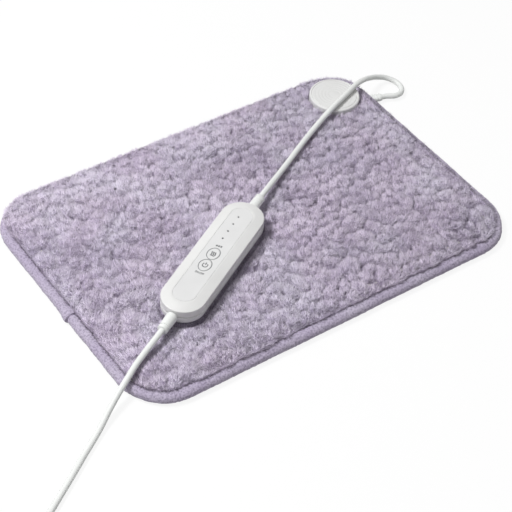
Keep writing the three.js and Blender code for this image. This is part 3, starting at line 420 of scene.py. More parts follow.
def cord_piece(name, route, nodes, **facts):
    curve = bpy.data.curves.new(name, "CURVE")
    curve.dimensions = "3D"
    curve.bevel_depth = CORD_DIAMETER / 2 * MM
    curve.bevel_resolution = 4
    curve.use_fill_caps = True
    spline = curve.splines.new("POLY")
    spline.points.add(len(route) - 1)
    for point, place in zip(spline.points, route):
        point.co = (*(place * MM), 1)
    spline.use_smooth = True
    cord = linked(name, curve)
    curve.materials.append(finishes["cord"])
    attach(cord, "pad")
    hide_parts(*nodes)
    return cord


# Shader building blocks


def srgb(red, green, blue):
    """A colour from its usual 0 to 255 values."""
    def linear(value):
        value /= 255
        return value / 12.92 if value <= 0.04045 else ((value + 0.055) / 1.055) ** 2.4

    return (linear(red), linear(green), linear(blue), 1.0)


BLACK, WHITE = (0, 0, 0, 1), (1, 1, 1, 1)


class Board:
    """A node tree with short ways to add and link its nodes."""

    def __init__(self, tree):
        self.tree = tree

    def feed(self, socket, value):
        if isinstance(value, bpy.types.NodeSocket):
            self.tree.links.new(value, socket)
        else:
            socket.default_value = value

    def add(self, kind, values=(), **settings):
        node = self.tree.nodes.new(kind)
        for name, value in settings.items():
            setattr(node, name, value)
        for socket, value in dict(values).items():
            self.feed(node.inputs[socket], value)
        return node

    def math(self, operation, a, b=0.0):
        return self.add("ShaderNodeMath", {0: a, 1: b}, operation=operation).outputs[0]

    def scaled(self, value, factor, offset):
        return self.math("ADD", self.math("MULTIPLY", value, factor), offset)

    def blend(self, share, a, b, kind="MIX"):
        values = {0: share, 6: a, 7: b}
        node = self.add("ShaderNodeMix", data_type="RGBA", blend_type=kind, clamp_factor=True)
        for socket, value in values.items():
            self.feed(node.inputs[socket], value)
        return node.outputs[2]

    def multiplied(self, a, b):
        return self.blend(1.0, a, b, "MULTIPLY")

    def ramp(self, value, *stops):
        node = self.add("ShaderNodeValToRGB", {0: value})
        while len(node.color_ramp.elements) < len(stops):
            node.color_ramp.elements.new(0.5)
        for element, (place, color) in zip(node.color_ramp.elements, stops):
            element.position = place
            element.color = color
        return node.outputs[0]

    def rise(self, value, low, high, dark=BLACK, light=WHITE):
        """From the dark colour up to the light one as the value goes from low to high."""
        return self.ramp(value, (low, dark), (high, light))

    def noise(self, vector, scale, detail=3.0, roughness=0.55, distortion=0.0):
        node = self.add("ShaderNodeTexNoise", {
            "Vector": vector, "Scale": scale, "Detail": detail,
            "Roughness": roughness, "Distortion": distortion,
        })
        return node.outputs[0]

    def attribute(self, name):
        return self.add("ShaderNodeAttribute", attribute_name=name).outputs["Fac"]


def effect(name, inputs, outputs, build):
    """A node group with named sockets. build gets its board and input sockets, and returns outputs."""
    group = bpy.data.node_groups.new(name, "ShaderNodeTree")
    group.interface.new_socket(name="Vector", in_out="INPUT", socket_type="NodeSocketVector")
    for socket, value in inputs.items():
        made = group.interface.new_socket(name=socket, in_out="INPUT", socket_type="NodeSocketFloat")
        made.default_value = value
    for socket in outputs:
        group.interface.new_socket(name=socket, in_out="OUTPUT", socket_type="NodeSocketFloat")
    board = Board(group)
    taken = board.add("NodeGroupInput").outputs
    given = board.add("NodeGroupOutput").inputs
    for socket, value in build(board, {s.name: s for s in taken if s.name}).items():
        group.links.new(value, given[socket])
    return group


def build_fibres(board, taken):
    """Fine streaks and soft patches, as on brushed or looped cloth."""
    drawn_out = board.add("ShaderNodeMapping", {"Vector": taken["Vector"], "Scale": (1.0, 0.45, 0.6)})
    fine = board.noise(drawn_out.outputs[0], taken["Fineness"], 4.0, 0.6, 0.4)
    broad = board.noise(taken["Vector"], taken["Patches"], 2.0, 0.5)
    return {"Streaks": fine, "Patches": broad}


def build_weave(board, taken):
    """Threads over and under each other."""
    threads = [
        board.add("ShaderNodeTexWave", {
            "Vector": taken["Vector"], "Scale": taken["Threads"], "Distortion": 0.6,
            "Detail": 1.0, "Detail Scale": 2.0,
        }, wave_type="BANDS", bands_direction=direction).outputs[1]
        for direction in ("X", "Y")
    ]
    crossed = board.math("MULTIPLY", *threads)
    fuzz = board.noise(taken["Vector"], taken["Fuzz"], 4.0, 0.65)
    weave = board.scaled(crossed, 0.6, board.math("MULTIPLY", fuzz, 0.4))
    return {"Weave": weave, "Nap": fuzz}


def build_moulding(board, taken):
    """The faint grain and cloudiness of moulded plastic."""
    grain = board.noise(taken["Vector"], taken["Grain"], 2.0, 0.5)
    cloud = board.noise(taken["Vector"], taken["Clouds"], 3.0, 0.5)
    return {"Grain": grain, "Clouds": cloud}


FIBRES = effect(
    "cloth_fibres", {"Fineness": 900.0, "Patches": 25.0}, ("Streaks", "Patches"), build_fibres,
)
WEAVE = effect("cloth_weave", {"Threads": 250.0, "Fuzz": 1500.0}, ("Weave", "Nap"), build_weave)
MOULDING = effect(
    "moulded_skin", {"Grain": 2500.0, "Clouds": 30.0}, ("Grain", "Clouds"), build_moulding,
)


class Finish(Board):
    """A material with its surface shader and its own coordinates."""

    def __init__(self, name):
        self.material = bpy.data.materials.new(name)
        self.material.use_nodes = True
        super().__init__(self.material.node_tree)
        self.surface = self.tree.nodes["Principled BSDF"]
        self.place = self.add("ShaderNodeTexCoord").outputs["Object"]

    def group(self, tree, vector=None, **values):
        values["Vector"] = vector or self.place
        return self.add("ShaderNodeGroup", values, node_tree=tree).outputs

    def set(self, **values):
        for name, value in values.items():
            self.feed(self.surface.inputs[name.replace("_", " ")], value)

    def bump(self, height, distance, strength):
        values = {"Height": height, "Distance": distance, "Strength": strength}
        self.set(Normal=self.add("ShaderNodeBump", values).outputs[0])
        return self.material


def pile_finish():
    pile = Finish("pile_fibres")
    fibres = pile.group(FIBRES, Fineness=700.0, Patches=22.0)
    # Painted shade: the ramp darkens each fibre towards its root, and the shade attribute blends in the
    # much darker shaded copy between tufts, in the pits, along the pile's rim and beside the housing.
    lit = pile.ramp(
        pile.attribute("tuft_height"),
        (0.0, srgb(228, 221, 240)), (0.3, srgb(240, 233, 250)), (1.0, srgb(249, 243, 255)),
    )
    shaded = pile.multiplied(lit, srgb(98, 86, 104))
    tone = pile.blend(pile.attribute("painted_fibre_shade"), lit, shaded)
    warm = pile.multiplied(tone, srgb(254, 249, 252))
    patched = pile.blend(pile.rise(fibres["Patches"], 0.38, 0.62), tone, warm)
    each = pile.rise(pile.attribute("fibre_tone"), 0.15, 0.68, srgb(206, 200, 212))
    streaks = pile.rise(fibres["Streaks"], 0.3, 0.65, srgb(240, 238, 242))
    pile.set(
        Base_Color=pile.multiplied(patched, pile.multiplied(each, streaks)),
        Roughness=1.0, Specular_IOR_Level=0.1, Sheen_Weight=0.35, Sheen_Roughness=0.6,
    )
    return pile.bump(fibres["Streaks"], 0.0004, 0.5)


def cloth_finish(name, light, dark, threads, fuzz, side="Weave", depth=0.0003):
    cloth = Finish(name)
    vector = cloth.add("ShaderNodeUVMap", uv_map="cloth").outputs[0]
    weave = cloth.group(WEAVE, vector, Threads=threads, Fuzz=fuzz)[side]
    if side == "Nap":
        weave = cloth.rise(weave, 0.34, 0.66)
    fibres = cloth.group(FIBRES, Fineness=1100.0, Patches=30.0)
    tone = cloth.blend(cloth.rise(weave, 0.15, 0.6), srgb(*dark), srgb(*light))
    patch = cloth.rise(fibres["Patches"], 0.3, 0.7, srgb(240, 236, 244))
    cloth.set(
        Base_Color=cloth.multiplied(tone, patch), Roughness=0.95,
        Specular_IOR_Level=0.15, Sheen_Weight=0.2, Sheen_Roughness=0.5,
    )
    return cloth.bump(cloth.scaled(fibres["Streaks"], 0.7, weave), depth, 0.7)


def darker(color, share):
    return tuple(c * share for c in color[:3]) + (1.0,)


def plastic_finish(name, color, roughness, grain=2500.0, depth=0.00003, **more):
    plastic = Finish(name)
    skin = plastic.group(MOULDING, Grain=grain, Clouds=30.0)
    tint = srgb(*color)
    cloudy = plastic.blend(plastic.rise(skin["Clouds"], 0.3, 0.7), darker(tint, 0.93), tint)
    rough = plastic.scaled(skin["Clouds"], 0.12, roughness - 0.06)
    plastic.set(Base_Color=cloudy, Roughness=rough, **more)
    return plastic.bump(skin["Grain"], depth, 0.5)


def metal_finish(name, color, roughness):
    metal = Finish(name)
    skin = metal.group(MOULDING, Grain=1800.0, Clouds=120.0)
    rough = metal.scaled(skin["Clouds"], 0.2, roughness - 0.1)
    metal.set(Base_Color=srgb(*color), Roughness=rough, Metallic=1.0)
    return metal.bump(skin["Grain"], 0.00001, 0.4)


def felt_finish(name, color):
    felt = Finish(name)
    fibres = felt.group(FIBRES, Fineness=600.0, Patches=40.0)
    tint = srgb(*color)
    felt.set(Base_Color=felt.blend(fibres["Streaks"], darker(tint, 0.8), tint), Roughness=1.0)
    return felt.bump(fibres["Streaks"], 0.0004, 0.6)


finishes = {
    "pile_cloth": pile_finish(),
    "binding_cloth": cloth_finish(
        "binding_tape", (199, 190, 209), (157, 148, 168), 260.0, 560.0, "Nap", 0.0005,
    ),
    "backing_cloth": cloth_finish(
        "backing_cloth", (196, 187, 208), (168, 158, 182), 300.0, 1500.0,
    ),
    "padding": felt_finish("padding_felt", (232, 230, 224)),
    "carrier_sheet": felt_finish("carrier_sheet", (236, 234, 230)),
    "silicone": plastic_finish("silicone_sleeve", (216, 211, 200), 0.55),
    "black_plastic": plastic_finish("black_plastic", (34, 35, 38), 0.5),
    "can": plastic_finish("capacitor_sleeve", (40, 40, 46), 0.35),
    "film": plastic_finish("film_capacitor", (60, 86, 140), 0.35),
    "ceramic": plastic_finish("ceramic_body", (232, 230, 224), 0.45),
    "lamp": plastic_finish("lamp_body", (238, 236, 226), 0.3),
    "light_guide": plastic_finish("smoked_guide", (84, 86, 90), 0.25),
    "board": plastic_finish("board_lacquer", (48, 106, 68), 0.35),
    "shell": plastic_finish("housing_shell", (224, 224, 223), 0.4, Specular_IOR_Level=0.45),
    "panel": plastic_finish("face_panel", (222, 222, 222), 0.3, Specular_IOR_Level=0.5),
    "key": plastic_finish("key_cap", (223, 223, 223), 0.42, Specular_IOR_Level=0.45),
    "steel": metal_finish("plated_steel", (190, 192, 196), 0.35),
    "brass": metal_finish("nickel_pins", (212, 208, 200), 0.25),
    "cord": plastic_finish("cord_jacket", (234, 236, 234), 0.45, 1500.0, 0.00005),
    "core": plastic_finish("core_sleeve", (200, 116, 60), 0.5),
    "tie": plastic_finish("tie_strap", (222, 222, 222), 0.6),
}
print_ink = plastic_finish("grey_print", (62, 64, 68), 0.6)
# Dark grey of the bands round the keys: painted shade for the groove round each key.
key_groove_shade = plastic_finish("grey_ring", (104, 106, 110), 0.6)
# The stitch thread is real, and its darker colour is painted shade for the groove it lies in.
shaded_thread = plastic_finish("stitch_thread", (128, 116, 136), 0.9)


def dress_nodes():
    slots = {row["node"]: row["material_slot"] for row in frame["record"]["subparts"]}
    for name, node in frame["nodes"].items():
        node.data.materials.clear()
        node.data.materials.append(finishes[slots[name]])


# Pad


pad_outline = Outline(PAD_LENGTH, PAD_WIDTH, PAD_CORNER)
TUFT_PITCH = (13.0, 8.8)
TUFT_RADIUS = 6.6
TUFT_TURN = 0.6
TUFT_WANDER = 9.0
TUFT_WANDER_CELL = 27
TUFT_JITTER = 0.95
LOCKS_PER_TUFT = 16
FIBRE_COUNT = 260000
FIBRE_LENGTH = 4.0
FIBRE_WIDTH = 0.54
FIBRE_ROOT_DEPTH = 0.3
TABLE_SIZE = 256
NO_LIMIT = 1e3
FAR_BAND, FAR_FADE = 50, 40

# How far inside the pad's edge the pile begins on each side
RIM_FRONT, RIM_SIDE, RIM_FAR, RIM_LEFT = 6.2, 5.6, 1.3, 8.6
RIM_WANDER, RIM_WANDER_CELL = 2.0, 8
RIM_GAP = 0.4

# The cloth under the fibres
PILE_DEPTH = 3.0
TUFT_SWELL, LOT_SWELL, SWELL_WIDTH = 0.6, 0.4, 6
HOLLOW_DEPTH, HOLLOW_WIDTH = 1.6, 2.8
FAR_RISE, SIDE_RISE = 1.7, 2.2
GROUND_LEAST, GROUND_FAR_LIFT = 8.8, 1.05
HEM_LOWEST = 8.6
PRESSED_DEPTH, PRESSED_WIDTH, PRESSED_REACH = 5.0, 1.8, 4.5

# How the fibres lean, against a rise of about one
TUFT_LEAN = 0.5
COMBED_LEAN, COMBED_CELL = 0.4, 37
STRAY_LEAN, STRAY_CELL = 0.65, 2.1
OWN_LEAN = 0.3
RIM_REACH = 2.4
PIT_WIDTH = 2.5

# The tape: half its height, its middle's height, its cloth and how far it bulges
TAPE_HALF, TAPE_MIDDLE, TAPE_THICK, TAPE_BULGE = 4.5, 4.7, 1.2, 4.0
BINDING_SEAM = (-197.5, -13)


def random_table(seed):
    return np.random.default_rng(seed).random((TABLE_SIZE, TABLE_SIZE))


def value_noise(x, y, cell, seed):
    table = random_table(seed)
    gx, gy = x / cell, y / cell
    ix, iy = np.floor(gx).astype(int), np.floor(gy).astype(int)
    fx, fy = smoothstep(gx - ix), smoothstep(gy - iy)
    low, high = (
        table[ix % TABLE_SIZE, (iy + j) % TABLE_SIZE] * (1 - fx)
        + table[(ix + 1) % TABLE_SIZE, (iy + j) % TABLE_SIZE] * fx
        for j in (0, 1)
    )
    return low * (1 - fy) + high * fy


def noise_pair(x, y, cell, seeds):
    """Two noises about zero, for the two directions along the pad."""
    return np.array([value_noise(x, y, cell, seed) for seed in seeds]) - 0.5


def bell(distance, width):
    return np.exp(-((distance / width) ** 2))


def pad_inset(x, y):
    """How far a point lies inside the pad's edge."""
    qx = np.abs(x) - (HALF_LENGTH - PAD_CORNER)
    qy = np.abs(y) - (HALF_WIDTH - PAD_CORNER)
    outside = np.hypot(np.maximum(qx, 0), np.maximum(qy, 0))
    return PAD_CORNER - outside - np.minimum(np.maximum(qx, qy), 0)


def disc_distance(x, y):
    return np.hypot(x - COUPLING.translation.x, y - COUPLING.translation.y)


def crown_height(inset):
    runs = BINDING_FLAP + np.array([-4, 0.3, 3, 7.2, 13.8, 21.9, 30.3])
    rises = [8.6, 9.6, 11.9, 14.0, 15.2, 15.9, 16.1]
    return np.interp(inset, runs, rises)


def toward_far(y):
    """From zero to one towards the side away from the camera."""
    return smoothstep((y - HALF_WIDTH + FAR_BAND) / FAR_FADE)


def pile_rim(x, y):
    """How near the edge the pile comes: over the tape on the far side, and short of it elsewhere."""
    far, side = toward_far(y), smoothstep((x - HALF_LENGTH + FAR_BAND) / FAR_FADE)
    left = smoothstep((-HALF_LENGTH + 14 - x) / 10) * smoothstep((HALF_WIDTH - 30 - y) / 30)
    front = RIM_FRONT + RIM_WANDER * (value_noise(x, y, RIM_WANDER_CELL, 6) - 0.5) * 2
    rim = (front * (1 - side) + RIM_SIDE * side) * (1 - far) + RIM_FAR * far
    return rim * (1 - left) + RIM_LEFT * left


def far_side(x, y):
    """One at the side away from the camera, where the pile stands over the edge."""
    return toward_far(y) * (0.4 + 0.6 * smoothstep((x + HALF_LENGTH - 5) / 45))


def side_puff(x):
    """How far the tape's upper half stands up along the side to the right of the controller."""
    return SIDE_RISE * smoothstep((x - HALF_LENGTH + 20) / 18)


def tape_top(inset):
    """How high the tape's upper side is."""
    aside = (TAPE_BULGE - np.clip(inset, 0, TAPE_BULGE)) / TAPE_BULGE
    return TAPE_MIDDLE + TAPE_HALF * np.sqrt(np.clip(1 - aside**2, 0, 1))


def tufts(x, y):
    """The nearest tuft: the way from its middle, its lot, and how far off the next two are."""
    cos, sin = math.cos(TUFT_TURN), math.sin(TUFT_TURN)
    wx = cos * x + sin * y + TUFT_WANDER * (value_noise(x, y, TUFT_WANDER_CELL, 1) - 0.5)
    wy = cos * y - sin * x + TUFT_WANDER * (value_noise(x, y, TUFT_WANDER_CELL, 2) - 0.5)
    across, along, size, lots = [random_table(seed) for seed in (11, 12, 13, 14)]
    row = np.rint(wy / TUFT_PITCH[1]).astype(int)
    first, second, third = (np.full(x.shape, NO_LIMIT) for _ in range(3))
    away = np.zeros((2, *x.shape))
    lot = np.zeros(x.shape)
    for dj in (-2, -1, 0, 1, 2):
        j = row + dj
        shift = 0.5 * (j % 2)
        column = np.rint(wx / TUFT_PITCH[0] - shift).astype(int)
        for di in (-2, -1, 0, 1, 2):
            i = column + di
            pick = (i % TABLE_SIZE, j % TABLE_SIZE)
            dx = wx - (i + shift + TUFT_JITTER * (across[pick] - 0.5)) * TUFT_PITCH[0]
            dy = wy - (j + TUFT_JITTER * (along[pick] - 0.5)) * TUFT_PITCH[1]
            reach = np.hypot(dx, dy) * (0.85 + 0.3 * size[pick])
            nearer = reach < first
            third = np.minimum(third, np.maximum(second, reach))
            second = np.where(nearer, first, np.minimum(second, reach))
            away = np.where(nearer, (cos * dx - sin * dy, sin * dx + cos * dy), away)
            lot = np.where(nearer, lots[pick], lot)
            first = np.where(nearer, reach, first)
    return away, lot, second - first, third - first


def hollows(x, y):
    """Which of the corners between tufts are open, more of them to the right of the controller."""
    spared = 0.62 - 0.38 * smoothstep((x + 140) / 160)
    return smoothstep((value_noise(x, y, 9, 37) - spared) / 0.2)


def ground_height(x, y):
    """The cloth that the fibres stand in, which swells a little under each tuft."""
    _, lot, margin, corner = tufts(x, y)
    inset = pad_inset(x, y)
    swell = TUFT_SWELL * smoothstep(margin / SWELL_WIDTH) + LOT_SWELL * (lot - 0.5)
    swell -= HOLLOW_DEPTH * bell(corner, HOLLOW_WIDTH) * hollows(x, y)
    height = crown_height(inset) - PILE_DEPTH + swell
    over_tape = tape_top(inset) + 0.15 + 0.5 * smoothstep((inset - 3) / 5)
    raised = FAR_RISE * far_side(x, y) * smoothstep((inset - RIM_FAR) / 2) + side_puff(x)
    raised *= 1 - smoothstep((inset - BINDING_FLAP) / 12)
    inside = GROUND_LEAST + GROUND_FAR_LIFT * toward_far(y)
    return np.maximum(height, np.where(inset < BINDING_FLAP + 0.4, over_tape, inside)) + raised


def beside_controller(x, y):
    """How far a point is from the housing's outline, negative under it."""
    back = CONTROLLER.inverted()
    u, v = (back[k][0] * x + back[k][1] * y + back[k][3] for k in (0, 1))
    radius = CONTROLLER_WIDTH / 2
    return np.hypot(np.maximum(np.abs(u) - (CONTROLLER_LENGTH / 2 - radius), 0), v) - radius


def controller_limit(x, y):
    """The underside of the controller's housing, which presses the pile flat, also just beside it."""
    over = beside_controller(x, y)
    housing_contact = CONTROLLER_FLOOR - 0.1 - PRESSED_DEPTH * bell(over - 0.6, PRESSED_WIDTH)
    return np.where(over < PRESSED_REACH, housing_contact, NO_LIMIT)


def cord_limit(x, y, routes):
    """The underside of the cords where they cross the pile."""
    limit = np.full(x.shape, NO_LIMIT)
    radius = CORD_DIAMETER / 2 + 0.15
    for px, py, pz in (point for route in routes for point in route):
        if abs(px) > HALF_LENGTH + 5 or abs(py) > HALF_WIDTH + 5:
            continue
        near = (np.abs(x - px) < radius) & (np.abs(y - py) < radius)
        away = (x[near] - px) ** 2 + (y[near] - py) ** 2
        under = pz - np.sqrt(np.clip(radius**2 - away, 0, None))
        limit[near] = np.where(away < radius**2, np.minimum(limit[near], under), limit[near])
    return limit


def make_ground(routes):
    """The cloth itself, with its rim turned down behind the tape."""
    spacing = 1.4
    bm = bmesh.new()
    bmesh.ops.create_grid(
        bm, x_segments=round(PAD_LENGTH / spacing), y_segments=round(PAD_WIDTH / spacing), size=0.5,
    )
    bmesh.ops.scale(bm, verts=bm.verts, vec=(PAD_LENGTH, PAD_WIDTH, 1))
    x, y = np.array([v.co[:2] for v in bm.verts]).T
    height = np.minimum(ground_height(x, y), controller_limit(x, y) - 0.4)
    height = np.minimum(height, cord_limit(x, y, routes) - 0.2)
    height = np.where(disc_distance(x, y) < DISC_CLEARANCE, np.minimum(height, 10.1), height)
    keep = pad_inset(x, y) > pile_rim(x, y)
    for vert, z in zip(bm.verts, height):
        vert.co.z = z
    bmesh.ops.delete(bm, geom=[v for v, k in zip(bm.verts, keep) if not k], context="VERTS")
    bmesh.ops.delete(bm, geom=[v for v in bm.verts if not v.link_faces], context="VERTS")
    bmesh.ops.smooth_vert(
        bm, verts=[v for v in bm.verts if v.is_boundary], factor=0.5,
        use_axis_x=True, use_axis_y=True, use_axis_z=False,
    )
    rim = [e for e in bm.edges if e.is_boundary]
    skirt = bmesh.ops.extrude_edge_only(bm, edges=rim)["geom"]
    for vert in (g for g in skirt if isinstance(g, bmesh.types.BMVert)):
        vert.co.z = min(HEM_LOWEST, tape_top(pad_inset(vert.co.x, vert.co.y)) - 0.8)
    lower = [g for g in skirt if isinstance(g, bmesh.types.BMEdge) and g.is_boundary]
    bmesh.ops.holes_fill(bm, edges=lower, sides=0)
    bmesh.ops.recalc_face_normals(bm, faces=bm.faces)
    return bm


def scatter_roots(rng):
    """Where the fibres stand: evenly over the pile, and more of them along the far rim."""
    x = rng.uniform(-HALF_LENGTH, HALF_LENGTH, FIBRE_COUNT)
    y = rng.uniform(-HALF_WIDTH, HALF_WIDTH, FIBRE_COUNT)
    more_x = rng.uniform(-HALF_LENGTH, HALF_LENGTH, FIBRE_COUNT * 2)
    more_y = rng.uniform(HALF_WIDTH - FAR_BAND, HALF_WIDTH, FIBRE_COUNT * 2)
    beyond = pad_inset(more_x, more_y) - pile_rim(more_x, more_y)
    share = 0.25 * bell(beyond, 3) * (far_side(more_x, more_y) > 0.3)
    crowded = rng.random(more_x.shape) < share
    x, y = np.concatenate((x, more_x[crowded])), np.concatenate((y, more_y[crowded]))
    inside = pad_inset(x, y) > pile_rim(x, y) + RIM_GAP
    keep = inside & (disc_distance(x, y) > DISC_CLEARANCE)
    return x[keep], y[keep]


def outward_way(x, y, step=0.5):
    """The way to the pad's edge."""
    return np.array([
        pad_inset(x - step, y) - pad_inset(x + step, y),
        pad_inset(x, y - step) - pad_inset(x, y + step),
    ]) / (2 * step)


def lay_fibres(routes):
    """Where each fibre's root and tip are, how wide it is, its tone, its facing and how shaded it is."""
    rng = np.random.default_rng(7)
    x, y = scatter_roots(rng)
    away, lot, margin, corner = tufts(x, y)
    over_edge = np.clip(pad_inset(x, y) - pile_rim(x, y) - 0.6, 0, None)
    near_rim, far = np.exp(-over_edge / RIM_REACH), far_side(x, y)
    near_side = 1 - smoothstep((y - HALF_WIDTH + 60) / FAR_FADE)
    hollow = hollows(x, y)
    pit = bell(corner, PIT_WIDTH) * hollow

    # A tuft's fibres lean away from its middle, less at the far rim and in the hollows
    tuft_lean = TUFT_LEAN * away / TUFT_RADIUS
    tuft_lean += COMBED_LEAN * noise_pair(x, y, COMBED_CELL, (33, 34))
    tuft_lean *= 1 - 0.7 * (1 - near_side) * np.exp(-over_edge / 5)
    tuft_lean += (0.85 * near_side - 0.15) * near_rim * outward_way(x, y)
    tuft_lean *= 1 - 0.8 * bell(corner, 2 * PIT_WIDTH) * hollow
    lean = tuft_lean + STRAY_LEAN * noise_pair(x, y, STRAY_CELL, (31, 32))
    lean += rng.normal(0, OWN_LEAN, lean.shape)
    rise = 0.8 - (0.25 - 0.45 * far) * near_rim

    # Fibres of one lock are about as long and as light
    from_middle = np.hypot(*away)
    middle = 1 - np.minimum(from_middle / TUFT_RADIUS, 1)
    round_tuft = np.arctan2(away[1], away[0]) * LOCKS_PER_TUFT / (2 * math.pi)
    lock = value_noise(round_tuft + 97 * lot, 131 * lot + from_middle / 5, 1.0, 38)
    length = FIBRE_LENGTH * (0.8 + 0.4 * rng.random(x.shape))
    length *= 0.9 + 0.2 * value_noise(x, y, 3.1, 35)
    length *= (0.9 + 0.1 * middle) * (0.85 + 0.3 * lock) * (1 - 0.6 * pit)

    size = length / np.sqrt(lean[0] ** 2 + lean[1] ** 2 + rise**2)
    root = np.array([x, y, ground_height(x, y) - FIBRE_ROOT_DEPTH])
    tip = root + np.array([lean[0] * size, lean[1] * size, rise * size])
    for place, clear in ((root, FIBRE_ROOT_DEPTH), (tip, 0.0)):
        limit = np.minimum(controller_limit(*place[:2]), cord_limit(*place[:2], routes))
        place[2] = np.minimum(place[2], limit - clear)

    tone = 0.65 * rng.random(x.shape) + 0.35 * lock + 0.4 * (value_noise(x, y, 24, 39) - 0.5)
    width = FIBRE_WIDTH * (0.7 + 0.6 * rng.random(x.shape))
    facing = np.array([*(0.65 * tuft_lean + 0.35 * lean), np.full(x.shape, 3.4)])
    # Painted shade on the fibres: darker along the pile's rim at the tape, along the tuft boundaries and
    # in the pits, all gathered in gap.
    seam = 0.85 * bell(over_edge, 0.6 + 1.7 * value_noise(x, y, 5, 40)) * near_side
    ridge = 0.06 * bell(margin, 1.1)
    # Painted contact shadow on the fibres right beside the controller's housing.
    housing_contact = 0.95 * bell(beside_controller(x, y) - 0.2, PRESSED_WIDTH)
    gap = np.maximum.reduce([ridge, pit, seam, housing_contact])
    return root, tip, width, tone, facing, gap


def spikes(count):
    """So many separate spikes in one mesh, each with its three root corners and then the tip."""
    bm = bmesh.new()
    bmesh.ops.create_cone(bm, cap_ends=True, cap_tris=False, segments=3, radius1=1, radius2=0, depth=2)
    bmesh.ops.remove_doubles(bm, verts=bm.verts, dist=1e-4)
    bm.verts.sort(key=lambda v: v.co.z)
    spike = linked("spike", mesh_from(bm, "spike"))
    spike.modifiers.new("row", "ARRAY").count = count
    return evaluated_mesh(spike)


def make_pile(routes):
    root, tip, width, tone, facing, gap = lay_fibres(routes)
    count = root.shape[1]
    way = tip - root
    way /= np.linalg.norm(way, axis=0)
    side = np.array([-way[1], way[0], np.zeros(count)])
    side /= np.maximum(np.linalg.norm(side, axis=0), 1e-6)
    back = np.cross(way.T, side.T).T
    corners = np.stack([
        root + side * width / 2 - back * width * 0.15, root - side * width / 2 - back * width * 0.15,
        root + back * width * 0.3, tip,
    ], 1)
    fibres = spikes(count)
    shape = corners.transpose(2, 1, 0).reshape(-1, 3).astype(np.float32)
    fibres.vertices.foreach_set("co", shape.ravel())
    bm = make_ground(routes)
    ground_count = len(bm.verts)
    bm.from_mesh(fibres)
    bpy.data.meshes.remove(fibres)
    pile = finish_piece(bm, "pile_cover", "pile_cloth", ["top_cover"], smooth=0)
    mesh = pile.data
    mesh.shade_smooth()

    def mark(name, on_ground, on_fibres):
        values = np.full(len(mesh.vertices), on_ground, np.float32)
        values[ground_count:] = on_fibres
        mesh.attributes.new(name, "FLOAT", "POINT").data.foreach_set("value", values)

    # The ground under the fibres gets half of the painted shade, each fibre its own.
    mark("painted_fibre_shade", 0.5, np.repeat(gap, 4))
    mark("tuft_height", 0.1, np.tile([0.25, 0.25, 0.3, 1.0], count))
    mark("fibre_tone", 0.4, np.repeat(tone, 4))
    normals = np.empty(len(mesh.vertices) * 3, np.float32)
    mesh.vertices.foreach_get("normal", normals)
    normals = normals.reshape(-1, 3)
    soft = (facing / np.linalg.norm(facing, axis=0)).T
    normals[ground_count:] = 0.25 * normals[ground_count:] + np.repeat(soft, 4, axis=0)
    normals /= np.linalg.norm(normals, axis=1, keepdims=True)
    mesh.normals_split_custom_set_from_vertices(normals)
    bake = mesh.uv_layers.new(name="OFBake")
    places = np.empty(len(mesh.vertices) * 3, np.float32)
    mesh.vertices.foreach_get("co", places)
    corner_verts = np.empty(len(mesh.loops), np.int32)
    mesh.loops.foreach_get("vertex_index", corner_verts)
    flat = places.reshape(-1, 3)[corner_verts, :2] / (PAD_LENGTH * MM) + 0.5
    bake.data.foreach_set("uv", flat.astype(np.float32).ravel())


def tape_profile():
    """Round the outside, in along the lower flap, and back through the fold to the upper one."""
    half, middle, thick, bulge, flap = TAPE_HALF, TAPE_MIDDLE, TAPE_THICK, TAPE_BULGE, BINDING_FLAP
    outer = [(bulge * (1 - math.cos(a)), middle + half * math.sin(a))
             for a in np.radians(np.linspace(90, -90, 17))]
    inner = [(thick + (bulge - thick) * (1 - math.cos(a)), middle + (half - thick) * math.sin(a))
             for a in np.radians(np.linspace(-90, 90, 5))]
    top, low = middle + half, middle - half
    return [
        (flap, top - 0.5), (flap - 0.2, top - 0.12), (flap - 0.6, top), (6.2, top), (5.2, top), *outer,
        (5.2, low), (6.2, low), (flap - 0.6, low), (flap - 0.2, low + 0.12), (flap, low + 0.5),
        (flap, low + thick), (6.0, low + thick), *inner, (6.0, top - thick), (flap, top - thick),
    ]


def make_binding():
    """Folded tape: a round outer edge, two flaps, gathers at the seam and the lap where it ends."""
    half, middle, bulge = TAPE_HALF, TAPE_MIDDLE, TAPE_BULGE
    lap = pad_outline.share_of(*BINDING_SEAM)

    def shape(share, inset, height):
        outside = np.hypot(np.minimum(inset - bulge, 0) / bulge, (height - middle) / half) > 0.85
        run = share * pad_outline.length
        dip = bell(inset - 7.2, 0.5)
        lift = np.sign(height - middle)
        wander = sum(
            size * (value_noise(run, run * 0, cell, seed) - 0.5)
            for size, cell, seed in ((0.5, 28, 21), (0.3, 9, 22))
        )
        gather = 0.16 * np.sin(run / 1.9 + 2.2 * np.sin(run / 17)) * np.clip((inset - 2) / 5, 0, 1)
        height = height - lift * (0.7 * dip - gather)
        place = pad_outline.at(share, 0 * share)
        height = height + side_puff(place[:, 0]) * np.clip((height - middle) / half, 0, 1)
        wander = wander - 1.2 * smoothstep((-HALF_WIDTH + 20 - place[:, 1]) / 18)
        beyond = ((share - lap + 0.5) % 1 - 0.5) * pad_outline.length
        step = 1.7 * smoothstep((beyond + 15) / 14) * (beyond < 0)
        step -= 1.2 * bell(beyond - 0.7, 0.7) * (beyond >= 0)
        around = np.clip(1 - inset / 4, 0, 1)
        inset = inset + (wander - step) * around * outside
        height = height + np.where(outside, lift * step * 0.55 * (1 - around) * (height > middle), 0)
        aside, up = np.minimum(inset - bulge, 0), height - middle
        level = np.hypot(aside, up)
        nap = 0.6 * (value_noise(run, 3 * height + inset, 1.8, 23) - 0.5) * outside
        return share, inset + nap * aside / level, height + nap * up / level

    bm = swept(pad_outline, tape_profile(), 2300, ring=True, shape=shape)
    return finish_piece(bm, "edge_tape", "binding_cloth", ["edge_binding"], smooth=60)


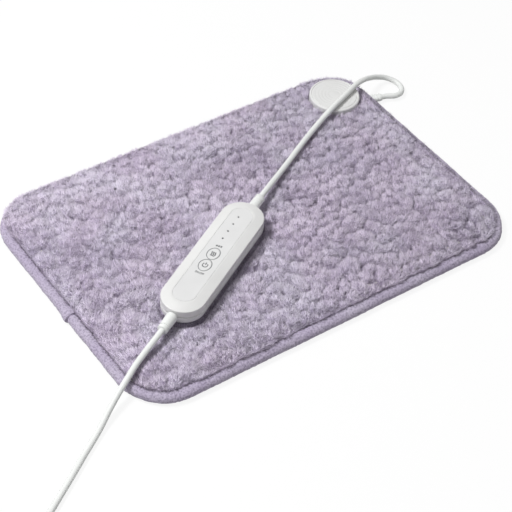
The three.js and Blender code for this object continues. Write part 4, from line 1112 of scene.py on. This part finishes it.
def make_backing():
    """Smooth cloth under the pad, drawn in a little along its seam."""
    def shape(share, inset, height):
        run = share * pad_outline.length
        draw = np.exp(-(inset - BINDING_FLAP - 0.4) / 7) * (height < 0.8)
        ripple = 0.5 + 0.5 * np.sin(run / 3.1 + 1.7 * np.sin(run / 23))
        return share, inset, height + 0.45 * draw * ripple

    underside = [(inset, 0.02) for inset in (8.7, 9.4, 11, 13, 16, 20, 26, 33, 40)]
    profile = [(40, 1.6), (9.2, 1.6), (8.5, 1.2), (8.4, 0.5), *underside]
    bm = swept(pad_outline, profile, 700, shape=shape)
    return finish_piece(bm, "backing_sheet", "backing_cloth", ["bottom_cover"])


STITCH_PITCH = 3.6
STITCH_INSET = 7.2
STITCH_SIZE = (1.35, 0.28, 0.22, 1)
STITCHES_ABOVE, STITCHES_BELOW = 8.85, 0.7


def stitches(height, name):
    """A row of stitches round the tape, each a short thread pressed into the cloth."""
    count = round(pad_outline.length / STITCH_PITCH)
    shares = (np.arange(count) + 0.5) / count
    inset = np.full(count, STITCH_INSET)
    whole = bmesh.new()
    for (x, y), (nx, ny) in zip(pad_outline.at(shares, inset), pad_outline.at(shares + 0.0008, inset)):
        turn = turned_frame(x, y, height, math.degrees(math.atan2(ny - y, nx - x)))
        place = turn @ Matrix.Diagonal(STITCH_SIZE)
        bmesh.ops.create_uvsphere(whole, u_segments=6, v_segments=4, radius=1, matrix=place)
    return finish_piece(whole, name, "binding_cloth", smooth=80, material=shaded_thread)


# Coupling


COUPLING_TOP = 18.6
COUPLING_RADIUS = 24.5
COUPLING_RINGS = (18.2, 15.0, 11.8, 8.6, 5.4)


def make_coupling():
    top, radius = COUPLING_TOP, COUPLING_RADIUS
    profile = rounded(
        [(0, top - 2), (21.5, top - 2), (21.5, 10.4), (radius, 10.4), (radius, top), (22.6, top),
         (22.2, top - 0.6), (21.6, top - 0.6), (21.2, top)],
        [0.3, 0.8, 0.3, 1.8, 0.15, 0.1, 0.1],
    )
    for ring in COUPLING_RINGS:
        level = top + 0.02 * (21.2 - ring)
        groove = ((0.7, 0), (0.25, 0.1), (-0.25, 0.1), (-0.7, 0))
        profile += [(ring + out, level - deep) for out, deep in groove]
    profile.append((0, top + 0.4))
    cap = revolved(profile, 128)
    finish_piece(cap, "coupling_cap", "shell", ["coupling_cover"], COUPLING, smooth=50)
    neck = ((17.6, 6.1), (20.2, 6.1), (20.25, 5.0), (26, 5.0), (33, 4.9))
    ribs = [(x, wide, 3.0, 2.6) for x, wide in neck]
    for i in range(5):
        start, wide = 34 + 3.1 * i, 4.85 - 0.13 * i
        rib = ((0, 0, 3.0), (0.3, 0.5, 2.5), (1.2, 0.5, 2.5), (1.5, 0.05, 3.0))
        ribs += [(start + on, wide - deep, high, 2.6) for on, deep, high in rib]
    ribs += [(49.6, 4.1, 3.0, 2.4), (50.7, 3.9, 2.9, 2.2), (COUPLING_BOOT_END, 3.6, 2.75, 2.1)]
    axis = boot_axis(COUPLING, COUPLING_BOOT_AXIS)
    finish_piece(lofted(ribs), "coupling_relief", "cord", ["coupling_boot"], axis, smooth=50)


# Controller


housing_outline = Outline(CONTROLLER_LENGTH, CONTROLLER_WIDTH, CONTROLLER_WIDTH / 2)
HOUSING_COLUMNS = 320
KEY_SIZE = (13.8, 10.2)
KEY_GAP = 0.1
KEY_RISE = 0.15
KEYS = {"power": -16.3, "heat": -0.9}
LAMPS = (19.9, 30, 40.1, 50.2)
LAMP_OFFSET = 1.8
LAMP_HOLE_RADIUS = 0.9
FACE_CUT = (12, 18)
BOOT_BORES = ((3.7, 60, 76), (4.5, 68.3, 71.3))
SCREW_PLACES = [(x, y) for x in (-60, 60) for y in (-8.5, 8.5)]


def drill(radius, low, high, steps):
    """A cylinder on Z to cut with."""
    return revolved([(0, low), (radius, low), (radius, high), (0, high)], steps)


def face_cutters():
    """The keys' two wells and the four lamp holes."""
    long, wide = (size / 2 + KEY_GAP for size in KEY_SIZE)
    well = [(long, wide, level) for level in FACE_CUT]
    wells = [moved(ovals(well), place) for place in KEYS.values()]
    holes = [moved(drill(LAMP_HOLE_RADIUS, *FACE_CUT, 24), place, LAMP_OFFSET) for place in LAMPS]
    return wells + holes


def boot_cutters():
    """At each end, the bore for the strain relief and the slot for its flange."""
    cutters = []
    for turn in (0, math.pi):
        for bore in BOOT_BORES:
            cutter = laid_along_x(drill(*bore, 40))
            cutter.transform(Matrix.Rotation(turn, 4, "Z"))
            cutters.append(moved(cutter, 0, 0, PARTING))
    return cutters


def screw_cutters():
    bore = [(0, -1), (2.9, -1), (2.9, 2.2), (1.5, 2.2), (1.5, 3), (0, 3)]
    return [moved(revolved(bore, 32), x, y) for x, y in SCREW_PLACES]


def longer_ends(share, inset, height):
    """Draws the panel's opening in at the two ends, where the rim is wider."""
    ahead = housing_outline.at(share, 0 * share) - housing_outline.at(share, 1 + 0 * share)
    return share, inset + 1.5 * np.abs(ahead[:, 0]) * (inset > 8.6) * (height > 15), height


def housing_piece(profile, cutters, name, slot, node, shape=None):
    body = swept(housing_outline, profile, HOUSING_COLUMNS, shape=shape)
    finish_piece(carved(body, cutters), name, slot, [node], CONTROLLER, smooth=30)


def controller_shells():
    top = CONTROLLER_TOP
    arc = rounded([(0, 7.4), (0, 14.0), (8.3, top), (9.25, top)], [0.9, 5.0], 8)
    upper = [
        (9.25, 15.2), (9.25, 16.02), (9.05, top), *arc[::-1][1:-1], (0, 7.75), (0.5, 7.3),
        (2.0, 7.15), (2.0, 11.8), (9.25, 13.2),
    ]
    openings = face_cutters() + boot_cutters()
    housing_piece(upper, openings, "housing_top", "shell", "upper_shell", longer_ends)
    base = rounded([(9, 0), (0, 0), (0, 6.85)], [3.0], 8)
    lower = [
        *base[:-1], (0, 6.25), (0.5, 6.7), (2.3, 6.85), (2.3, 8.2), (3.1, 8.2), (3.1, 5.2),
        (2.0, 4.2), (2.0, 2.6), (2.6, 2.0), (9, 2.0),
    ]
    openings = screw_cutters() + boot_cutters()
    housing_piece(lower, openings, "housing_base", "shell", "lower_shell")
    plate = [(14, 15.5), (9.27, 15.5), (9.27, 16.02), (9.4, top), (14, top)]
    housing_piece(plate, face_cutters(), "face_plate", "panel", "face_panel", longer_ends)


def make_keys():
    long, wide = (size / 2 for size in KEY_SIZE)
    top = CONTROLLER_TOP + KEY_RISE
    crown = (
        (0, 0.45), (0.06, 0.22), (0.22, 0.06), (0.5, 0), (1.3, 0.03), (2.6, 0.1), (4.2, 0.15),
    )
    levels = [
        (2.2, 2.2, 11.3), (2.2, 2.2, 11.6), (7.45, 7.6, 11.6), (7.45, 7.6, 12.9), (long, wide, 12.9),
        *((long - inset, wide - inset, top - drop) for inset, drop in crown), (0.6, 0.5, top - 0.16),
    ]
    for name, place in KEYS.items():
        key = f"{name}_key"
        cap = moved(ovals(levels), place)
        finish_piece(cap, key, "key", [f"{name}_button"], CONTROLLER, key, 40)
        # A flat dark band round the key: painted shade in place of the groove's shadow.
        ring = moved(oval_band(long + 0.12, wide + 0.12, 0.5, CONTROLLER_TOP, 16.34), place)
        finish_piece(ring, f"{name}_key_ring", "panel", (), CONTROLLER, material=key_groove_shade)


def bar(length, width, low, high, x=0.0, y=0.0):
    bm = bmesh.new()
    place = Matrix.Translation((x, y, (low + high) / 2))
    bmesh.ops.create_cube(bm, size=1, matrix=place @ Matrix.Diagonal((length, width, high - low, 1)))
    return bm


def wave(length, width, low, high, y):
    """A wavy stroke along X: one swing to each side."""
    bm = bmesh.new()
    bmesh.ops.create_grid(bm, x_segments=16, y_segments=1, size=0.5)
    for vert in bm.verts:
        x = vert.co.x
        vert.co = (x * length, vert.co.y * width + y + 0.35 * math.sin(2 * math.pi * x), low)
    bmesh.ops.recalc_face_normals(bm, faces=bm.faces)
    bmesh.ops.solidify(bm, geom=list(bm.faces), thickness=low - high)
    return closed_up(bm, fill=False, distance=1e-5)


def switch_words():
    words = bpy.data.curves.new("switch_words", "FONT")
    words.body = "ON/OFF"
    words.size = 2.8
    words.offset = 0.08
    words.space_character = 1.2
    words.align_x = "CENTER"
    words.align_y = "CENTER"
    words.extrude = 0.02
    letters = evaluated_mesh(linked("switch_words", words))
    bm = bmesh.new()
    bm.from_mesh(letters)
    bpy.data.meshes.remove(letters)
    squeeze = Matrix.Diagonal((0.7, 1.15, 1, 1))
    bm.transform(turned_frame(-26.7, 0, CONTROLLER_TOP + 0.02, -90) @ squeeze)
    return bm


def make_prints():
    """Generic marks: the power sign, a warmth sign on the other key, and the words for the power key."""
    face = CONTROLLER_TOP
    low = face + KEY_RISE - 0.16
    high = low + 0.06
    power = merged(oval_band(1.9, 1.9, 0.85, low, high, 48, 40, 320), bar(2.6, 0.85, low, high, 1.85))
    strokes = [wave(4.2, 0.9, low, high, y) for y in (-1.6, 0, 1.6)]
    waves = merged(*strokes, bar(0.75, 4.8, low, high, -2.8))
    blocks = [bar(2.0, 1.2, face, face + 0.04, 9.6 - 0.25 * i, 2.0 * i) for i in (-1, 0, 1)]
    ink = {"place": CONTROLLER, "material": print_ink}
    finish_piece(moved(power, KEYS["power"]), "power_sign", "key", body="power_key", **ink)
    finish_piece(moved(waves, KEYS["heat"] + 0.3), "warmth_sign", "key", body="heat_key", **ink)
    finish_piece(switch_words(), "power_label", "panel", smooth=0, **ink)
    finish_piece(merged(*blocks), "heat_label", "panel", smooth=0, **ink)


def make_reliefs():
    """The strain reliefs at both ends of the housing, each with a notch near its tip."""
    collar, tip, length, ribs = 5.0, 4.6, BOOT_LENGTH, 4
    profile = [
        (0, -3.9), (4.2, -3.9), (4.2, -2.3), (3.4, -2.3), (3.4, 0.3), (collar - 0.3, 0.3), (collar, 0.6),
    ]
    for i in range(ribs):
        start = 3.0 + (length - 6.5) / ribs * i
        radius = collar + (tip - collar) * i / ribs
        rib = ((0, 0), (0.14, 0.3), (0.14, 0.6), (0.03, 0.9))
        profile += [(radius - deep, start + on) for deep, on in rib]
    profile += [
        (tip, length - 4.2), (tip - 0.8, length - 4.0), (tip - 0.8, length - 3.0), (tip, length - 2.8),
        (tip, length - 0.3), (tip - 0.3, length), (0, length),
    ]
    axis = boot_axis(CONTROLLER, PARTING)
    for name, turn in (("pad", 0), ("mains", 180)):
        bm = moved(laid_along_x(revolved(profile, 48)), CONTROLLER_LENGTH / 2)
        place = axis @ Matrix.Rotation(math.radians(turn), 4, "Z")
        finish_piece(bm, f"{name}_relief", "cord", [f"{name}_lead_boot"], place, smooth=50)


# Plug and strap


def make_plug():
    body = lofted([
        (0, 6.4, 5.3, 2.6), (0.5, 6.9, 5.6, 2.7), (3, 7.4, 5.7, 2.8), (7, 9.5, 6.0, 3.0),
        (11, 12.0, 6.35, 3.2), (16, 15.2, 6.6, 3.4), (22, 17.2, 6.8, 3.6), (28, 17.6, 6.85, 3.8),
        (33, 17.6, 6.85, 3.8), (34.4, 17.2, 6.5, 3.8), (35, 16.4, 5.9, 3.8),
    ], 96)
    finish_piece(body, "plug_shell", "cord", ["plug_body"], PLUG, smooth=60)
    profile = [(0, -0.3), (4.6, -0.3), (5.0, -0.8), (5.0, -5)]
    for i in range(4):
        start, radius = -6.5 - 4.0 * i, 4.8 - 0.22 * i
        rib = ((0, 0), (0.6, 0.25), (0.6, 1.3), (0.1, 1.55))
        profile += [(radius - deep, start - on) for deep, on in rib]
    profile += [(4.0, -22.5), (3.9, -23.6), (3.5, -PLUG_BOOT_LENGTH), (0, -PLUG_BOOT_LENGTH)]
    boot = laid_along_x(revolved(profile, 48))
    finish_piece(boot, "plug_relief", "cord", ["plug_boot"], PLUG, smooth=50)
    pin_profile = rounded([(0, 35.3), (2, 35.3), (2, 54), (0, 54)], [0, 1.2])
    for index, y in ((1, -9.3), (2, 9.3)):
        pin = moved(laid_along_x(revolved(pin_profile, 32)), 0, y)
        finish_piece(pin, f"contact_pin_{index}", "brass", [f"plug_pin_{index}"], PLUG, smooth=40)


def make_strap():
    """The coil's tie: its plain solid with welded corners and soft edges."""
    bm = bmesh.new()
    bm.from_mesh(frame["nodes"]["coil_tie"].data)
    bm.transform(Matrix.Scale(1 / MM, 4))
    bmesh.ops.remove_doubles(bm, verts=bm.verts, dist=1e-3)
    bmesh.ops.dissolve_limit(bm, angle_limit=math.radians(1), verts=bm.verts, edges=bm.edges)
    sharp = [e for e in bm.edges if e.is_manifold and e.calc_face_angle() > math.radians(40)]
    bmesh.ops.bevel(
        bm, geom=sharp, offset=0.2, segments=2, profile=0.5, affect="EDGES", material=-1,
    )
    return finish_piece(bm, "cord_strap", "tie", ["coil_tie"])


# Stage and light


SKY_LOW, SKY_RISE = 0.13, 0.44
PAPER_GLOW = 0.88
PAPER_HALF = 9
PAPER_DROP = 0.0004


def seen_plainly(board):
    """One for the rays that show the background itself."""
    path = board.add("ShaderNodeLightPath").outputs
    mirrored = board.math("MAXIMUM", path["Is Glossy Ray"], path["Is Transmission Ray"])
    return board.math("MAXIMUM", path["Is Camera Ray"], mirrored)


def make_stage():
    paper = Finish("white_paper")
    tone = paper.rise(
        paper.noise(paper.place, 60.0), 0.3, 0.7, (0.93, 0.93, 0.93, 1), (0.95, 0.95, 0.95, 1),
    )
    seen = seen_plainly(paper)
    lit = paper.blend(seen, (0.6, 0.6, 0.6, 1), tone)
    paper.set(Base_Color=lit, Roughness=0.9, Specular_IOR_Level=0.0)
    glow = paper.add("ShaderNodeEmission", {"Color": WHITE, "Strength": 1.0})
    share = paper.math("MULTIPLY", seen, PAPER_GLOW)
    mix = paper.add("ShaderNodeMixShader", {0: share, 1: paper.surface.outputs[0], 2: glow.outputs[0]})
    paper.feed(paper.tree.nodes["Material Output"].inputs["Surface"], mix.outputs[0])
    bm = bmesh.new()
    bmesh.ops.create_grid(bm, x_segments=1, y_segments=1, size=PAPER_HALF)
    floor = linked("table_top", mesh_from(moved(bm, 0, 0, -PAPER_DROP), "table_top"))
    floor.data.materials.append(paper.material)


def add_light(name, place, size, power):
    light = bpy.data.lights.new(name, "AREA")
    light.shape = "DISK"
    light.size = size
    light.energy = power
    aim = Vector(place).to_track_quat("Z", "Y")
    linked(name, light).matrix_world = Matrix.Translation(place) @ aim.to_matrix().to_4x4()


def light_scene():
    """A soft sky that the camera sees as white, and one window."""
    world = bpy.data.worlds.new("soft_room")
    world.use_nodes = True
    board = Board(world.node_tree)
    way = board.add("ShaderNodeTexCoord").outputs["Generated"]
    upward = board.math("MAXIMUM", board.add("ShaderNodeSeparateXYZ", {0: way}).outputs["Z"], 0.0)
    sky = board.scaled(upward, SKY_RISE, SKY_LOW)
    whitened = board.math("MULTIPLY", seen_plainly(board), board.math("SUBTRACT", 1.0, sky))
    background = world.node_tree.nodes["Background"]
    board.feed(background.inputs["Strength"], board.math("ADD", sky, whitened))
    board.feed(background.inputs["Color"], WHITE)
    bpy.context.scene.world = world
    add_light("window_side", (-0.85, 0.42, 1.55), 0.45, 25.5)


def main():
    bpy.context.scene.view_settings.view_transform = "Standard"
    place_camera()
    routes = cord_routes()
    dress_nodes()
    make_stage()
    light_scene()
    controller_shells()
    make_keys()
    make_prints()
    make_reliefs()
    make_coupling()
    make_plug()
    strap = make_strap()
    pad_route, mains_route = routes
    cord_piece(
        "pad_cord", pad_route, ["pad_lead"], far_end="object", stiffness="limp",
        lay="loose", with_pieces=["coupling_relief"],
    )
    cord_piece(
        "mains_cord", mains_route, ["mains_lead", "mains_coil", "plug_tail"],
        far_end="plug", stiffness="medium", lay="coiled",
        with_pieces=[strap, "plug_shell", "plug_relief", "contact_pin_1", "contact_pin_2"],
    )
    binding = make_binding()
    upper_row = stitches(STITCHES_ABOVE, "upper_stitches")
    lower_row = stitches(STITCHES_BELOW, "lower_stitches")
    make_backing()
    make_pile(routes)


main()
